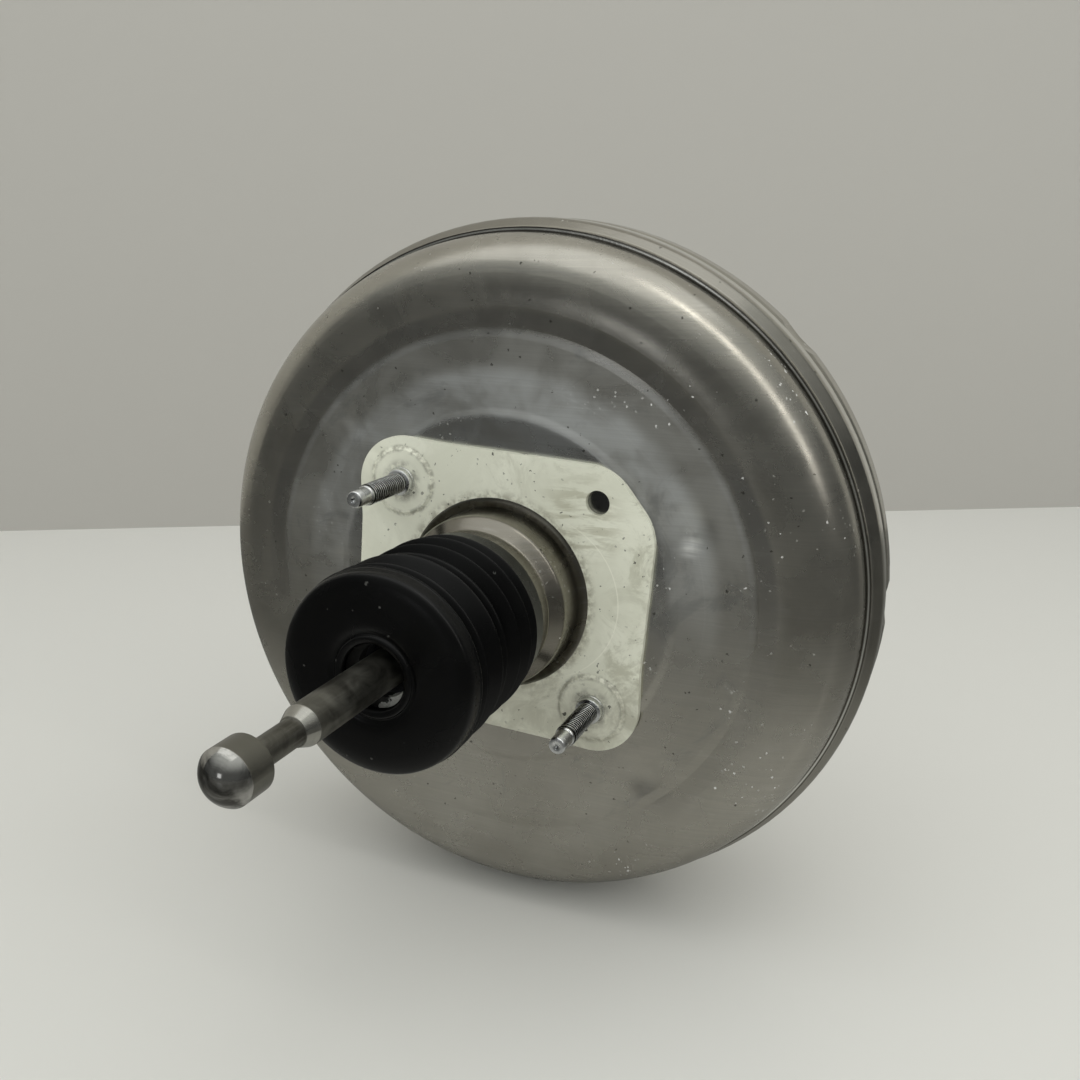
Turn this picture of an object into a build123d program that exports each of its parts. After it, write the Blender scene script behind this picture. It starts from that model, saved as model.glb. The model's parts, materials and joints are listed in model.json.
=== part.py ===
"""Through-bolt vacuum brake booster with a single diaphragm, in millimetres.

Y is the booster's axis: -Y points to the brake pedal and +Y to the master cylinder. +Z is up.
The origin is the centre of the mounting plate's outer face, which seats on the bulkhead.
Turned and pressed pieces are drawn as (radius, y) profiles and revolved about Y.
"""

from build123d import *
import math
import os

# ---- Driving dimensions -------------------------------------------------------------------
# Clearances
SEAT_GAP = 0.05          # between two pieces of one body that locate each other
RUN_GAP = 0.05           # radial, between a sliding piece and its bore
SOFT_GAP = 0.3           # between a rubber or felt piece and a piece that moves past it

# Bolts: two through bolts and two spare holes stand on the corners of one square
BOLT_SPAN = 80.0         # side of that square
BOLT_THREAD_R = 4.0
BOLT_END_R = 4.5         # plain end that passes through a shell
BOLT_SHAFT_R = 6.0       # shaft between the two shells
BOLT_HOLE_R = 4.6
BOLT_COLLAR_R = 5.8      # staked collar that holds the bolt end in its shell
BOLT_COLLAR = 2.4
BOLT_COLLAR_FLARE = 0.7  # the collar widens by this towards its shell
REAR_THREAD = 31.8       # from the rear collar to the tip
FRONT_THREAD = 24.5
TIP_R = 3.25             # plain pilot at the rear tip
TIP = 7.6
TIP_BEVEL = 0.6
TIP_RING_R = 3.7         # ring between the pilot and the thread
TIP_RING = 1.2
TIP_DIMPLE_R = 0.9       # lathe centre in the tip
THREAD_LEAD = 1.25

# Mounting plate
PLATE_THICK = 2.5
PLATE_EAR_R = 19.0       # ears are concentric with the bolts
PAD_R = 13.5             # raised round pad under each bolt collar
PAD_RISE = 0.8
PAD_SLOPE = 1.2
# Half of the plate's outline: x and z in reaches of an ear from the centre, corner in ear radii
PLATE_OUTLINE = [(-1.0, 1.0, 1.0), (-0.424, 0.954, 2.1), (0.771, 0.905, 1.05),
                 (1.058, 0.542, 1.05), (0.990, -0.407, 2.1)]

# Rear shell
REAR_SHEET = 2.0
DRUM_R = 133.3
DRUM_SHOULDER_R = 15.0
DRUM_WALL_END = 30.0     # y where the wall turns out into the flange
CURL_SLOPE = 55.4        # degrees between the flange and the flat of the drum
CURL_BEND_R = 4.0
NECK_R = 29.0
NECK_LENGTH = 34.0
NECK_STEP = 4.4          # the neck's root stands out by this
NECK_STEP_Y = -12.6
NECK_STEP_RUN = 4.6
NECK_DRAFT = 0.5
NECK_ROOT_BEND_R = 3.5
NECK_ROOM = 3.6          # round the neck's root in the mounting plate
FACE_SEAT_ROOM = 11.4    # the flat under the plate goes this far beyond the bolt circle
FACE_DROP = 0.9          # the drum's face lies this far in front of that flat
FACE_DISH = 0.5          # and rises by this towards the pressed ring
FACE_RING_INSET = 25.8   # pressed ring in the face, from the drum's wall
FACE_RING_RUN_OUT = 7.5
FACE_RING_RUN_IN = 3.5
FACE_RING_DEPTH = 0.5
DIMPLE_BALL_R = 40.0     # shallow dents in the face
DIMPLE_DEPTH = 0.65

# Front shell
FRONT_SHEET = 1.8
CURL_LIP = 2.4
BEAD = 5.4               # the bead stands out by this from the drum's wall
BEAD_BEND_R = 5.0
RIM_GROOVE_Y = 45.6      # shallow groove behind the bead
RIM_GROOVE = 1.0
RIM_GROOVE_RUN = 2.6
FRONT_WALL_END = 60.0
PAD_STEP = 5.0
FRONT_PAD_SLOPE = 3.0
PILOT_R = 20.5
PILOT_LENGTH = 11.0
FLUTE_COUNT = 8
FLUTE_R = 20.0
FLUTE_DEPTH = 2.3
FLUTE_SETBACK = 8.0      # from the end of the straight wall to the flute's first centre
FLUTE_RUN = 5.0

# Reinforcement plate inside the front shell
BRACE_SHEET = 2.0
BRACE_ROOM = 11.4        # beyond the bolt circle
BRACE_LIP = 5.0
BRACE_BEND_R = 3.0
O_RING_SECTION_R = 1.0
O_RING_SQUEEZE_GAP = 0.1

# Valve body
TUBE_R = 21.0
TUBE_WALL = 3.0
TUBE_END = -87.5
HUB_R = 32.0
HUB_CLEAR = 1.5          # between the hub and the rear shell at rest
HUB = 6.2
BOSS_SHOW = 5.5          # how far the boss stands in front of the ring round it
NOSE = 14.0
NOSE_R = 17.0
NOSE_WALL = 4.0
BOSS_STEP = 7.0          # the boss is this much larger in radius than the nose
MASTER_ROOM = 14.0       # between the nose and the pilot collar at full stroke
WEB_START = -10.0        # rear face of the web that carries the valve
POCKET_FLOOR = 4.0       # web between the boss's end and the reaction disc's pocket
PLUNGER_BORE_R = 6.5
AIR_BORE_R = 9.2
AIR_BORE_END = -1.2
VACUUM_SEAT_R = 11.7
VACUUM_SEAT = 2.4
VACUUM_SEAT_TOP = 0.6    # half width of the seat's edge
VACUUM_SEAT_FOOT = 0.9
PASSAGE_R = 2.2
KEY_START = 1.0
KEY_THICK = 2.5
KEY_WIDTH = 12.0
KEY_ROOM = 3.9           # between the key's ends and the neck's root
STROKE = 34.0

# Plunger and push rod
PLUNGER_TRAVEL = 1.2
PLUNGER_SPARE = 0.6      # left between the plunger and its stops beyond its travel
PLUNGER_ROOM = 0.7       # round the plunger's flange in the air bore
PLUNGER_GROOVE_R = 4.0
PLUNGER_NOSE_R = 5.0
PLUNGER_NOSE = 2.6
BALL_R = 4.5
BALL_ROOF = 0.5
BALL_LIP = 0.6           # the socket's throat is smaller than the ball by this
ROD_NECK_R = 2.9
ROD_NECK_END = -20.0
ROD_FRONT_R = 4.5
ROD_R = 6.45
ROD_WAIST_R = 4.25
ROD_BEVEL = 1.0
ROD_WAIST_STEP = 0.5
HEAD_R = 8.5
HEAD_START = -150.6
HEAD_LENGTH = 9.8
HEAD_CHAMFER = 0.8
HEAD_DOME_R = 9.6
ROD_TAPER = 4.4
ROD_WAIST = 19.0
ROD_COLLAR_R = 5.0       # small collar where the waist meets the head
ROD_COLLAR = 0.8
ROD_SEAT_SHEET = 1.2
ROD_SEAT_LIP = 2.1
ROD_SPRING_R = 10.6
ROD_SPRING_TURNS = 4
SMALL_WIRE_R = 0.9

# Poppet valve
POPPET_LIP = 2.2
POPPET_LIP_ROOM = 1.1    # the poppet's bore is smaller than the plunger's flange by this
POPPET_WALL = 1.5
POPPET_HEAD = 4.0
POPPET_OVERLAP = 2.0     # beyond the vacuum seat
POPPET_WAIST = 1.2
POPPET_RETAINER_Y = -30.0
POPPET_RETAINER = 2.0
POPPET_RETAINER_ROOM = 2.2
POPPET_BEAD = 4.0
POPPET_SPRING_INSET = 1.5
POPPET_SPRING_WIRE_R = 0.6
POPPET_SPRING_TURNS = 2.5

# Air filter, silencer, and the guide and seal in the neck
FILTER_BORE_R = 9.2
FILTER_LENGTH = 20.0
FELT_INSET = 4.5         # from the valve body's end
FELT_LENGTH = 4.0
FILTER_ROOM = 4.0        # between the filter and the push rod's shoulder
GUIDE_LENGTH = 7.0
GUIDE_FLANGE = 1.6
SEAL_LENGTH = 8.0
SEAL_ROOT = 3.0
# Corners of the lip seal: share of the room beside the valve body, share of the seal's length
SEAL_LIPS = [(0.68, 1.0), (0.61, 0.375), (0.39, 0.375), (0.21, 0.875), (0.0, 0.825), (0.11, 0.25)]

# Diaphragm and its plate
WALL_SHEET = 1.5
RUBBER_SHEET = 1.5
HUB_BEAD = 4.3           # diaphragm's bead between the hub and the plate
HUB_BEAD_INSET = 2.0
WALL_HUB_STEP = 5.0      # dish of the plate's hub, in y and in radius
WALL_CONE = 12.0
WALL_CONE_RISE = 9.5
WALL_RIM = 9.0
WALL_RIM_INSET = 17.3    # from the drum's wall to the plate's rim
WALL_BENDS = [2.0, 3.0, 4.0, 4.0]
BUSH_WALL = 3.0          # slide bushes
BUSH_FLANGE = 2.5
BUSH_REAR = 2.3
BUSH_FRONT = 2.2
BUSH_LIP = 1.5
BUSH_TIP = 0.5
RIM_GAP = 0.7            # between the rear shell's flange and the front shell
ROLL_INSET = 3.7         # the fold's outer leg from the front shell
RIM_BEAD = 5.5
RIM_BEAD_GAP = 0.5
RIM_BEAD_LIP = 0.8
RIM_BEAD_BEND_R = 1.0
FOLD_RISE = 4.0
FOLD_FLAT = 2.0
RIB = 3.0                # bumper rib
RIB_INSET = 6.0
RIB_GAP = 1.4
WALL_RING = 2.5
WALL_RING_ROOM = 3.25
WALL_RING_BEVEL = 2.0

# Return spring
SPRING_R = 34.0
SPRING_WIRE_R = 1.75
SPRING_TURNS = 4.5
SPRING_LOCATOR_ROOM = 4.25

# Reaction disc and output rod
REACTION_DISC = 6.0
OUTPUT_HEAD = 5.0
OUTPUT_ROD_R = 6.0
OUTPUT_TIP_R = 4.5
OUTPUT_TIP = 8.0
OUTPUT_TIP_CHAMFER = 1.0
OUTPUT_TIP_BEND_R = 2.5
OUTPUT_REACH = 13.0      # beyond the front pad
OUTPUT_CAP_SHEET = 1.2
OUTPUT_CAP_SKIRT = 7.0
OUTPUT_CAP_ROOM = 1.5

# Boot
BOOT_WALL = 1.6
BOOT_COVER = 9.0         # length of the neck that the boot covers
BOOT_CUFF = 7.0
BOOT_CUFF_LEAD = 1.0
BOOT_BORE_R = 10.8
BOOT_LIP_R = 13.4
BOOT_LIP = 1.2
BOOT_FACE = 2.6
BOOT_FACE_GAP = 0.4
BOOT_FACE_R = 30.8
BOOT_SHOULDER_R = 34.0
BOOT_SHOULDER = 2.2
BOOT_SOCK = 6.4          # sleeve that grips the valve body's end
BOOT_SOCK_WALL = 1.9
# Crests and valleys: share of the way from the boot's face to its cuff, radius in neck radii
BOOT_FOLDS = [(0.120, 1.183), (0.162, 1.103), (0.205, 1.172), (0.299, 0.983), (0.393, 1.162),
              (0.453, 1.028), (0.504, 1.117), (0.581, 0.914), (0.658, 1.138), (0.738, 0.948),
              (0.812, 1.138), (0.880, 0.966), (0.949, 1.103)]

# Check valve
VALVE_ANGLE = 67.5       # degrees from +X about the booster's axis
VALVE_MARGIN = 2.0       # flat left on both sides of the grommet
VALVE_LEDGE = 5.0
GROMMET_R = 11.5
GROMMET_BORE_R = 7.0
GROMMET_RISE = 3.5
GROMMET_TAIL = 3.2
GROMMET_TAIL_INSET = 1.2
VALVE_HOLE_R = 9.5
VALVE_BODY_R = 10.0
VALVE_SHEET = 2.0
VALVE_FLANGE = 2.4
VALVE_FLANGE_REACH = 1.5
VALVE_SEAT_RISE = 4.4
VALVE_SEAT_EDGE = 0.8
VALVE_SEAT_WIDTH = 1.2
VALVE_TAIL = 6.0
VALVE_HEAD = 9.5
VALVE_CAP_BEND_R = 3.0
NIPPLE_R = 5.0
NIPPLE_BARB_R = 5.9
NIPPLE_START = 4.0
NIPPLE_RIDGE = 4.0
NIPPLE_RIDGE_COUNT = 3
NIPPLE_BORE_R = 3.2
DISC_TRAVEL = 1.5
DISC_THICK = 1.5
DISC_ROOM = 0.8
DISC_STUB_R = 2.0
DISC_STUB = 1.5
VALVE_SPRING_R = 4.0
VALVE_SPRING_WIRE_R = 0.35
VALVE_SPRING_TURNS = 3

# ---- Derived places -----------------------------------------------------------------------
BOLT_PLACES = [(-BOLT_SPAN / 2, BOLT_SPAN / 2), (BOLT_SPAN / 2, -BOLT_SPAN / 2)]
SPARE_PLACES = [(BOLT_SPAN / 2, BOLT_SPAN / 2), (-BOLT_SPAN / 2, -BOLT_SPAN / 2)]
BOLT_CIRCLE_R = BOLT_SPAN / math.sqrt(2)

NECK_BORE_R = NECK_R - REAR_SHEET
NECK_STEP_R = NECK_R + NECK_STEP
NECK_ROOT_R = NECK_STEP_R + NECK_DRAFT
PLATE_BORE_R = NECK_ROOT_R + NECK_ROOM
FACE_OUT = PLATE_THICK                       # flat of the rear shell's outer face
FACE_IN = FACE_OUT + REAR_SHEET
FACE_LOW = FACE_OUT + FACE_DROP
FACE_SEAT_R = BOLT_CIRCLE_R + FACE_SEAT_ROOM
FACE_RING_OUT_R = DRUM_R - FACE_RING_INSET
FACE_RING_R = FACE_RING_OUT_R - FACE_RING_RUN_OUT
FACE_RING_IN_R = FACE_RING_R - FACE_RING_RUN_IN

BEAD_R = DRUM_R + BEAD
RIM_BORE_R = BEAD_R - FRONT_SHEET            # inside of the front shell's wall
FLANGE_R = RIM_BORE_R - RIM_GAP
FLANGE_RISE = (FLANGE_R - DRUM_R) * math.tan(math.radians(CURL_SLOPE))
ROLL_R = RIM_BORE_R - ROLL_INSET
RIM_BEAD_Y = DRUM_WALL_END + FLANGE_RISE + REAR_SHEET * math.cos(math.radians(CURL_SLOPE)) + SOFT_GAP
RIM_BEAD_END = RIM_BEAD_Y + RIM_BEAD
ROLL_TOP = RIM_BEAD_END + FOLD_RISE

HUB_START = FACE_IN + HUB_CLEAR
HUB_END = HUB_START + HUB
WALL_HUB_Y = HUB_END + HUB_BEAD              # rear face of the diaphragm plate at the hub
BOSS_END = WALL_HUB_Y + WALL_SHEET + WALL_RING + BOSS_SHOW
NOSE_END = BOSS_END + NOSE
FRONT_DEPTH = NOSE_END + MASTER_ROOM + STROKE + PILOT_LENGTH     # y of the master cylinder's seat

PAD_INNER = FRONT_DEPTH - FRONT_SHEET        # inside of the front pad
VALVE_FACE = FRONT_DEPTH - PAD_STEP          # flat ring round the front pad
BRACE_REAR = PAD_INNER - SEAT_GAP - BRACE_SHEET
BRACE_R = BOLT_CIRCLE_R + BRACE_ROOM
BRACE_BORE_R = SPRING_R - SPRING_WIRE_R - SPRING_LOCATOR_ROOM - BRACE_SHEET
FRONT_PAD_R = BRACE_R + FRONT_PAD_SLOPE
VALVE_OFFSET = FRONT_PAD_R + FRONT_PAD_SLOPE + VALVE_MARGIN + GROMMET_R
FRONT_CONE_R = VALVE_OFFSET + GROMMET_R + VALVE_LEDGE

TUBE_BORE_R = TUBE_R - TUBE_WALL
BOSS_R = NOSE_R + BOSS_STEP
WEB_END = BOSS_END - POCKET_FLOOR
POCKET_R = NOSE_R - NOSE_WALL
KEY_REACH = NECK_ROOT_R - REAR_SHEET - KEY_ROOM
PASSAGE_REAR_R = (VACUUM_SEAT_R + VACUUM_SEAT_FOOT + TUBE_BORE_R) / 2
PASSAGE_FRONT_R = (NOSE_R + BOSS_R) / 2

WALL_FLAT_Y = WALL_HUB_Y - WALL_HUB_STEP
WALL_CONE_END = WALL_FLAT_Y + WALL_CONE_RISE
WALL_RIM_END = WALL_CONE_END + WALL_RIM
BUSH_NECK_R = BOLT_SHAFT_R + BUSH_WALL
WALL_FLAT_R = BOLT_CIRCLE_R - BUSH_NECK_R - BUSH_FLANGE - 1.5 * RUBBER_SHEET + SOFT_GAP
WALL_HUB_R = WALL_FLAT_R - WALL_HUB_STEP
WALL_RIM_R = DRUM_R - WALL_RIM_INSET
WALL_CONE_R = WALL_RIM_R - WALL_CONE
WALL_RING_R = SPRING_R - SPRING_WIRE_R - WALL_RING_ROOM
RIB_R = FACE_SEAT_R + RIB_INSET

POPPET_FACE = WEB_START - VACUUM_SEAT - SOFT_GAP
POPPET_R = VACUUM_SEAT_R + POPPET_OVERLAP
PLUNGER_FLANGE_R = AIR_BORE_R - PLUNGER_ROOM
PLUNGER_FLANGE_START = POPPET_FACE + SOFT_GAP
PLUNGER_FLANGE_END = AIR_BORE_END - PLUNGER_TRAVEL - PLUNGER_SPARE
POPPET_BORE_R = PLUNGER_FLANGE_R - POPPET_LIP_ROOM
BALL_Y = PLUNGER_FLANGE_END - BALL_R - BALL_ROOF
BALL_THROAT_R = BALL_R - BALL_LIP
FELT_START = TUBE_END + FELT_INSET
FILTER_START = FELT_START + FELT_LENGTH + SEAT_GAP
ROD_SHOULDER_Y = FILTER_START + FILTER_LENGTH + FILTER_ROOM
ROD_TAPER_END = HEAD_START + ROD_WAIST
ROD_TAPER_START = ROD_TAPER_END + ROD_TAPER
ROD_SEAT_R = ROD_SPRING_R + 2 * SMALL_WIRE_R

OUTPUT_END = FRONT_DEPTH + OUTPUT_REACH
BOOT_END = TUBE_END - BOOT_FACE_GAP - BOOT_FACE
BOOT_MOUTH = -NECK_LENGTH + BOOT_COVER
BOOT_FOLD_END = BOOT_MOUTH - BOOT_CUFF
NIPPLE_LENGTH = VALVE_BODY_R + NIPPLE_START + NIPPLE_RIDGE_COUNT * NIPPLE_RIDGE
DIMPLE_PLACES = [(-0.643, 0.626), (-0.72, 0.032), (0.743, 0.37), (0.64, -0.679)]


# ---- Helpers ------------------------------------------------------------------------------
def turned(points, radii=0.0):
    """A solid of revolution about Y from a closed (radius, y) profile, with rounded corners."""
    outline = FilletPolyline(*points, radius=radii, close=True)
    return revolve(make_face(outline), Axis.Y)


def pressed(points, radii, sheet, side=Side.LEFT):
    """Sheet of even thickness revolved about Y. The points are one face of the sheet."""
    path = FilletPolyline(*points, radius=radii)
    return revolve(make_face(offset(path, sheet, side=side)), Axis.Y)


def rod_along_y(radius, start, end, x=0.0, z=0.0):
    """A plain cylinder along Y from start to end."""
    plane = Plane(origin=(x, start, z), x_dir=(1, 0, 0), z_dir=(0, 1, 0))
    return extrude(plane * Circle(radius), end - start)


def tube_along_y(inner, outer, start, end):
    """A plain ring about Y."""
    return turned([(inner, start), (outer, start), (outer, end), (inner, end)])


def at_places(shape, places):
    """Copies of a shape drawn about Y, moved to each (x, z) place."""
    return [Pos(x, 0, z) * shape for x, z in places]


def coil(radius, wire_r, start, end, turns):
    """A compression spring's wire about Y, between two planes."""
    rise = end - start - 2 * wire_r
    line = Helix(pitch=rise / turns, height=rise, radius=radius, center=(0, start + wire_r, 0),
                 direction=(0, 1, 0))
    section = Plane(origin=line @ 0, z_dir=line % 0) * Circle(wire_r)
    return sweep(section, path=line, is_frenet=True)


# ---- Housing ------------------------------------------------------------------------------
def rear_shell():
    """The pedal-side drum half with its drawn neck, and the flange that the front shell grips."""
    ring_y = FACE_LOW + FACE_DISH
    points = [
        (NECK_R, -NECK_LENGTH),
        (NECK_R, NECK_STEP_Y - NECK_STEP_RUN),
        (NECK_STEP_R, NECK_STEP_Y),
        (NECK_ROOT_R, FACE_OUT),
        (FACE_SEAT_R, FACE_OUT),
        (FACE_SEAT_R + 3 * FACE_DROP, FACE_LOW),
        (FACE_RING_IN_R, ring_y),
        (FACE_RING_R, ring_y + FACE_RING_DEPTH),
        (FACE_RING_OUT_R, ring_y),
        (DRUM_R, FACE_LOW),
        (DRUM_R, DRUM_WALL_END),
        (FLANGE_R, DRUM_WALL_END + FLANGE_RISE),
    ]
    radii = [1.5, 3.0, NECK_ROOT_BEND_R, 4.0, 4.0, 6.0, 2.0, 6.0, DRUM_SHOULDER_R, CURL_BEND_R]
    shell = pressed(points, radii, REAR_SHEET)
    hole = rod_along_y(BOLT_HOLE_R, -PLATE_THICK, FACE_IN + REAR_SHEET)
    dent = Pos(0, ring_y + DIMPLE_DEPTH - DIMPLE_BALL_R, 0) * Sphere(DIMPLE_BALL_R)
    dents = at_places(dent, [(x * FACE_RING_IN_R, z * FACE_RING_IN_R) for x, z in DIMPLE_PLACES])
    return shell - at_places(hole, BOLT_PLACES) - dents


def front_shell_points():
    """Outer face of the front shell, from the curled lip to the pilot collar."""
    offset_out = FRONT_SHEET + SEAT_GAP
    slope = math.radians(CURL_SLOPE)
    bend_y = DRUM_WALL_END - offset_out * (1 - math.sin(slope)) / math.cos(slope)
    bend_r = DRUM_R + offset_out
    return [
        (bend_r, bend_y - CURL_LIP),
        (bend_r, bend_y),
        (BEAD_R, bend_y + (BEAD_R - bend_r) * math.tan(slope)),
        (BEAD_R, RIM_GROOVE_Y - RIM_GROOVE_RUN),
        (BEAD_R - RIM_GROOVE, RIM_GROOVE_Y),
        (BEAD_R, RIM_GROOVE_Y + RIM_GROOVE_RUN),
        (BEAD_R, FRONT_WALL_END),
        (FRONT_CONE_R, VALVE_FACE),
        (FRONT_PAD_R + FRONT_PAD_SLOPE, VALVE_FACE),
        (FRONT_PAD_R, FRONT_DEPTH),
        (PILOT_R, FRONT_DEPTH),
        (PILOT_R, FRONT_DEPTH - PILOT_LENGTH),
    ]


def flute_tool(radius):
    """A capsule that lies in one flute of the wall, on +X."""
    centre_r = BEAD_R + FLUTE_R - FLUTE_DEPTH
    start = FRONT_WALL_END - FLUTE_SETBACK
    tool = rod_along_y(radius, start, start + FLUTE_RUN, x=centre_r)
    for y in (start, start + FLUTE_RUN):
        tool += Pos(centre_r, y, 0) * Sphere(radius)
    return tool


def front_shell():
    """The master-cylinder-side drum half: curled lip, bead, fluted wall, pad and pilot collar."""
    points = front_shell_points()
    lip_bend = CURL_BEND_R - FRONT_SHEET - SEAT_GAP
    radii = [lip_bend, BEAD_BEND_R, 2.5, 2.5, 2.5, 14.0, 10.0, 2.5, 3.5, 4.0]
    shell = pressed(points, radii, FRONT_SHEET)
    outline = FilletPolyline(*points, (0, points[-1][1]), (0, points[0][1]),
                             radius=radii + [0, 0, 0, 0], close=True)
    core = revolve(offset(make_face(outline), -FRONT_SHEET / 2), Axis.Y)
    bump = flute_tool(FLUTE_R + FRONT_SHEET) & core
    cut = flute_tool(FLUTE_R)
    turns = [Rotation(0, index * 360 / FLUTE_COUNT, 0) for index in range(FLUTE_COUNT)]
    shell = shell + [turn * bump for turn in turns]
    shell = shell - [turn * cut for turn in turns]
    hole = rod_along_y(BOLT_HOLE_R, PAD_INNER - FRONT_SHEET, FRONT_DEPTH + FRONT_SHEET)
    valve_hole = rod_along_y(VALVE_HOLE_R, VALVE_FACE - 2 * FRONT_SHEET, VALVE_FACE + FRONT_SHEET)
    return shell - at_places(hole, BOLT_PLACES) - at_places(valve_hole, [valve_place()])


def valve_place():
    """Where the check valve's axis crosses the front face, as (x, z)."""
    angle = math.radians(VALVE_ANGLE)
    return VALVE_OFFSET * math.cos(angle), VALVE_OFFSET * math.sin(angle)


def mounting_plate():
    """Stamped plate with ears at the bolts, raised pads, two spare holes and a bore for the neck."""
    reach = BOLT_SPAN / 2 + PLATE_EAR_R
    half = [(x * reach, z * reach) for x, z, _ in PLATE_OUTLINE]
    corners = half + [(-x, -z) for x, z in half]
    radii = [share * PLATE_EAR_R for _, _, share in PLATE_OUTLINE] * 2
    plane = Plane(origin=(0, 0, 0), x_dir=(1, 0, 0), z_dir=(0, -1, 0))
    outline = FilletPolyline(*corners, radius=radii, close=True)
    plate = extrude(plane * make_face(outline), -PLATE_THICK)
    pad = turned([(0, 0), (PAD_R, 0), (PAD_R - PAD_SLOPE, -PAD_RISE), (0, -PAD_RISE)])
    hollow = turned([(0, PLATE_THICK), (PAD_R - PAD_SLOPE, PLATE_THICK),
                     (PAD_R - 2 * PAD_SLOPE, PLATE_THICK - PAD_RISE),
                     (0, PLATE_THICK - PAD_RISE)])
    plate += at_places(pad, BOLT_PLACES)
    plate -= at_places(hollow, BOLT_PLACES)
    hole = rod_along_y(BOLT_HOLE_R, -PLATE_THICK, 2 * PLATE_THICK)
    plate -= at_places(hole, BOLT_PLACES + SPARE_PLACES)
    return plate - rod_along_y(PLATE_BORE_R, -PLATE_THICK, 2 * PLATE_THICK)


def tie_bolts():
    """Two through bolts: pilot, stud, staked collar, shaft, staked collar, stud."""
    collar_foot = -PAD_RISE
    collar_top = collar_foot - BOLT_COLLAR
    tip = collar_top - REAR_THREAD
    ring = tip + TIP
    thread_start = ring + TIP_RING
    front_collar = FRONT_DEPTH + BOLT_COLLAR
    front_tip = front_collar + FRONT_THREAD
    bolt = turned([
        (0, tip + TIP_DIMPLE_R), (TIP_DIMPLE_R, tip), (TIP_R - TIP_BEVEL, tip),
        (TIP_R, tip + TIP_BEVEL), (TIP_R, ring), (TIP_RING_R, ring), (TIP_RING_R, thread_start),
        (BOLT_THREAD_R, thread_start + BOLT_THREAD_R - TIP_RING_R), (BOLT_THREAD_R, collar_top),
        (BOLT_COLLAR_R - BOLT_COLLAR_FLARE, collar_top), (BOLT_COLLAR_R, collar_foot),
        (BOLT_END_R, collar_foot), (BOLT_END_R, FACE_IN),
        (BOLT_SHAFT_R, FACE_IN), (BOLT_SHAFT_R, PAD_INNER), (BOLT_END_R, PAD_INNER),
        (BOLT_END_R, FRONT_DEPTH), (BOLT_COLLAR_R, FRONT_DEPTH), (BOLT_COLLAR_R, front_collar),
        (BOLT_THREAD_R, front_collar), (BOLT_THREAD_R, front_tip - THREAD_LEAD),
        (BOLT_THREAD_R - THREAD_LEAD, front_tip), (0, front_tip),
    ])
    return Compound(children=at_places(bolt, BOLT_PLACES))


def brace_hole_radius():
    """Hole of the reinforcement plate that squeezes an O-ring round a bolt's shaft."""
    return BOLT_SHAFT_R + 2 * (O_RING_SECTION_R + O_RING_SQUEEZE_GAP)


def front_reinforcement():
    """Steel ring behind the front pad, with the lip that locates the return spring."""
    front = PAD_INNER - SEAT_GAP
    brace = turned([
        (BRACE_BORE_R, front), (BRACE_BORE_R, BRACE_REAR - BRACE_LIP),
        (BRACE_BORE_R + BRACE_SHEET, BRACE_REAR - BRACE_LIP),
        (BRACE_BORE_R + BRACE_SHEET, BRACE_REAR), (BRACE_R, BRACE_REAR), (BRACE_R, front),
    ], [BRACE_BEND_R, 0, 0, BRACE_BEND_R / 3, 0, 0])
    hole = rod_along_y(brace_hole_radius(), BRACE_REAR - BRACE_SHEET, PAD_INNER + BRACE_SHEET)
    return brace - at_places(hole, BOLT_PLACES)


def tie_bolt_o_rings():
    """An O-ring round each bolt, inside the reinforcement plate."""
    y = PAD_INNER - BRACE_SHEET / 2 - SEAT_GAP
    middle_r = BOLT_SHAFT_R + O_RING_SQUEEZE_GAP + O_RING_SECTION_R
    ring = Pos(0, y, 0) * Rotation(90, 0, 0) * Torus(middle_r, O_RING_SECTION_R)
    return Compound(children=at_places(ring, BOLT_PLACES))


def neck_guide():
    """Plastic ring that is pressed into the neck's mouth and guides the valve body."""
    bore = TUBE_R + RUN_GAP
    mouth = -NECK_LENGTH - SEAT_GAP
    return turned([
        (bore, mouth - GUIDE_FLANGE), (NECK_R, mouth - GUIDE_FLANGE), (NECK_R, mouth),
        (NECK_BORE_R - SEAT_GAP, mouth), (NECK_BORE_R - SEAT_GAP, mouth + GUIDE_LENGTH),
        (bore, mouth + GUIDE_LENGTH),
    ])


def neck_seal():
    """Rubber lip seal between the neck and the valve body, held by the guide ring."""
    start = -NECK_LENGTH + GUIDE_LENGTH + SEAT_GAP
    outer = NECK_BORE_R - SEAT_GAP
    lip = TUBE_R + SOFT_GAP
    room = outer - lip
    root = [(lip + SEAL_LIPS[2][0] * room, start), (outer, start), (outer, start + SEAL_LENGTH)]
    lips = [(lip + share * room, start + along * SEAL_LENGTH) for share, along in SEAL_LIPS]
    return turned(root + lips)


# ---- Check valve --------------------------------------------------------------------------
def valve_levels():
    """Axial places of the check valve: flange's rear face, seat, and the cap's outer end."""
    flange_rear = VALVE_FACE + GROMMET_RISE + SEAT_GAP
    seat = flange_rear + VALVE_SEAT_RISE
    return flange_rear, seat, seat + DISC_THICK + DISC_TRAVEL + VALVE_HEAD


def check_valve_grommet():
    """Rubber grommet in the front shell's port."""
    inner_face = VALVE_FACE - FRONT_SHEET - SEAT_GAP
    outer_face = VALVE_FACE + SEAT_GAP
    waist_r = VALVE_HOLE_R - SEAT_GAP
    profile = turned([
        (GROMMET_BORE_R, inner_face - GROMMET_TAIL), (GROMMET_R - GROMMET_TAIL_INSET, inner_face),
        (waist_r, inner_face), (waist_r, outer_face), (GROMMET_R, outer_face),
        (GROMMET_R, VALVE_FACE + GROMMET_RISE), (GROMMET_BORE_R, VALVE_FACE + GROMMET_RISE),
    ])
    return at_places(profile, [valve_place()])[0]


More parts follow.
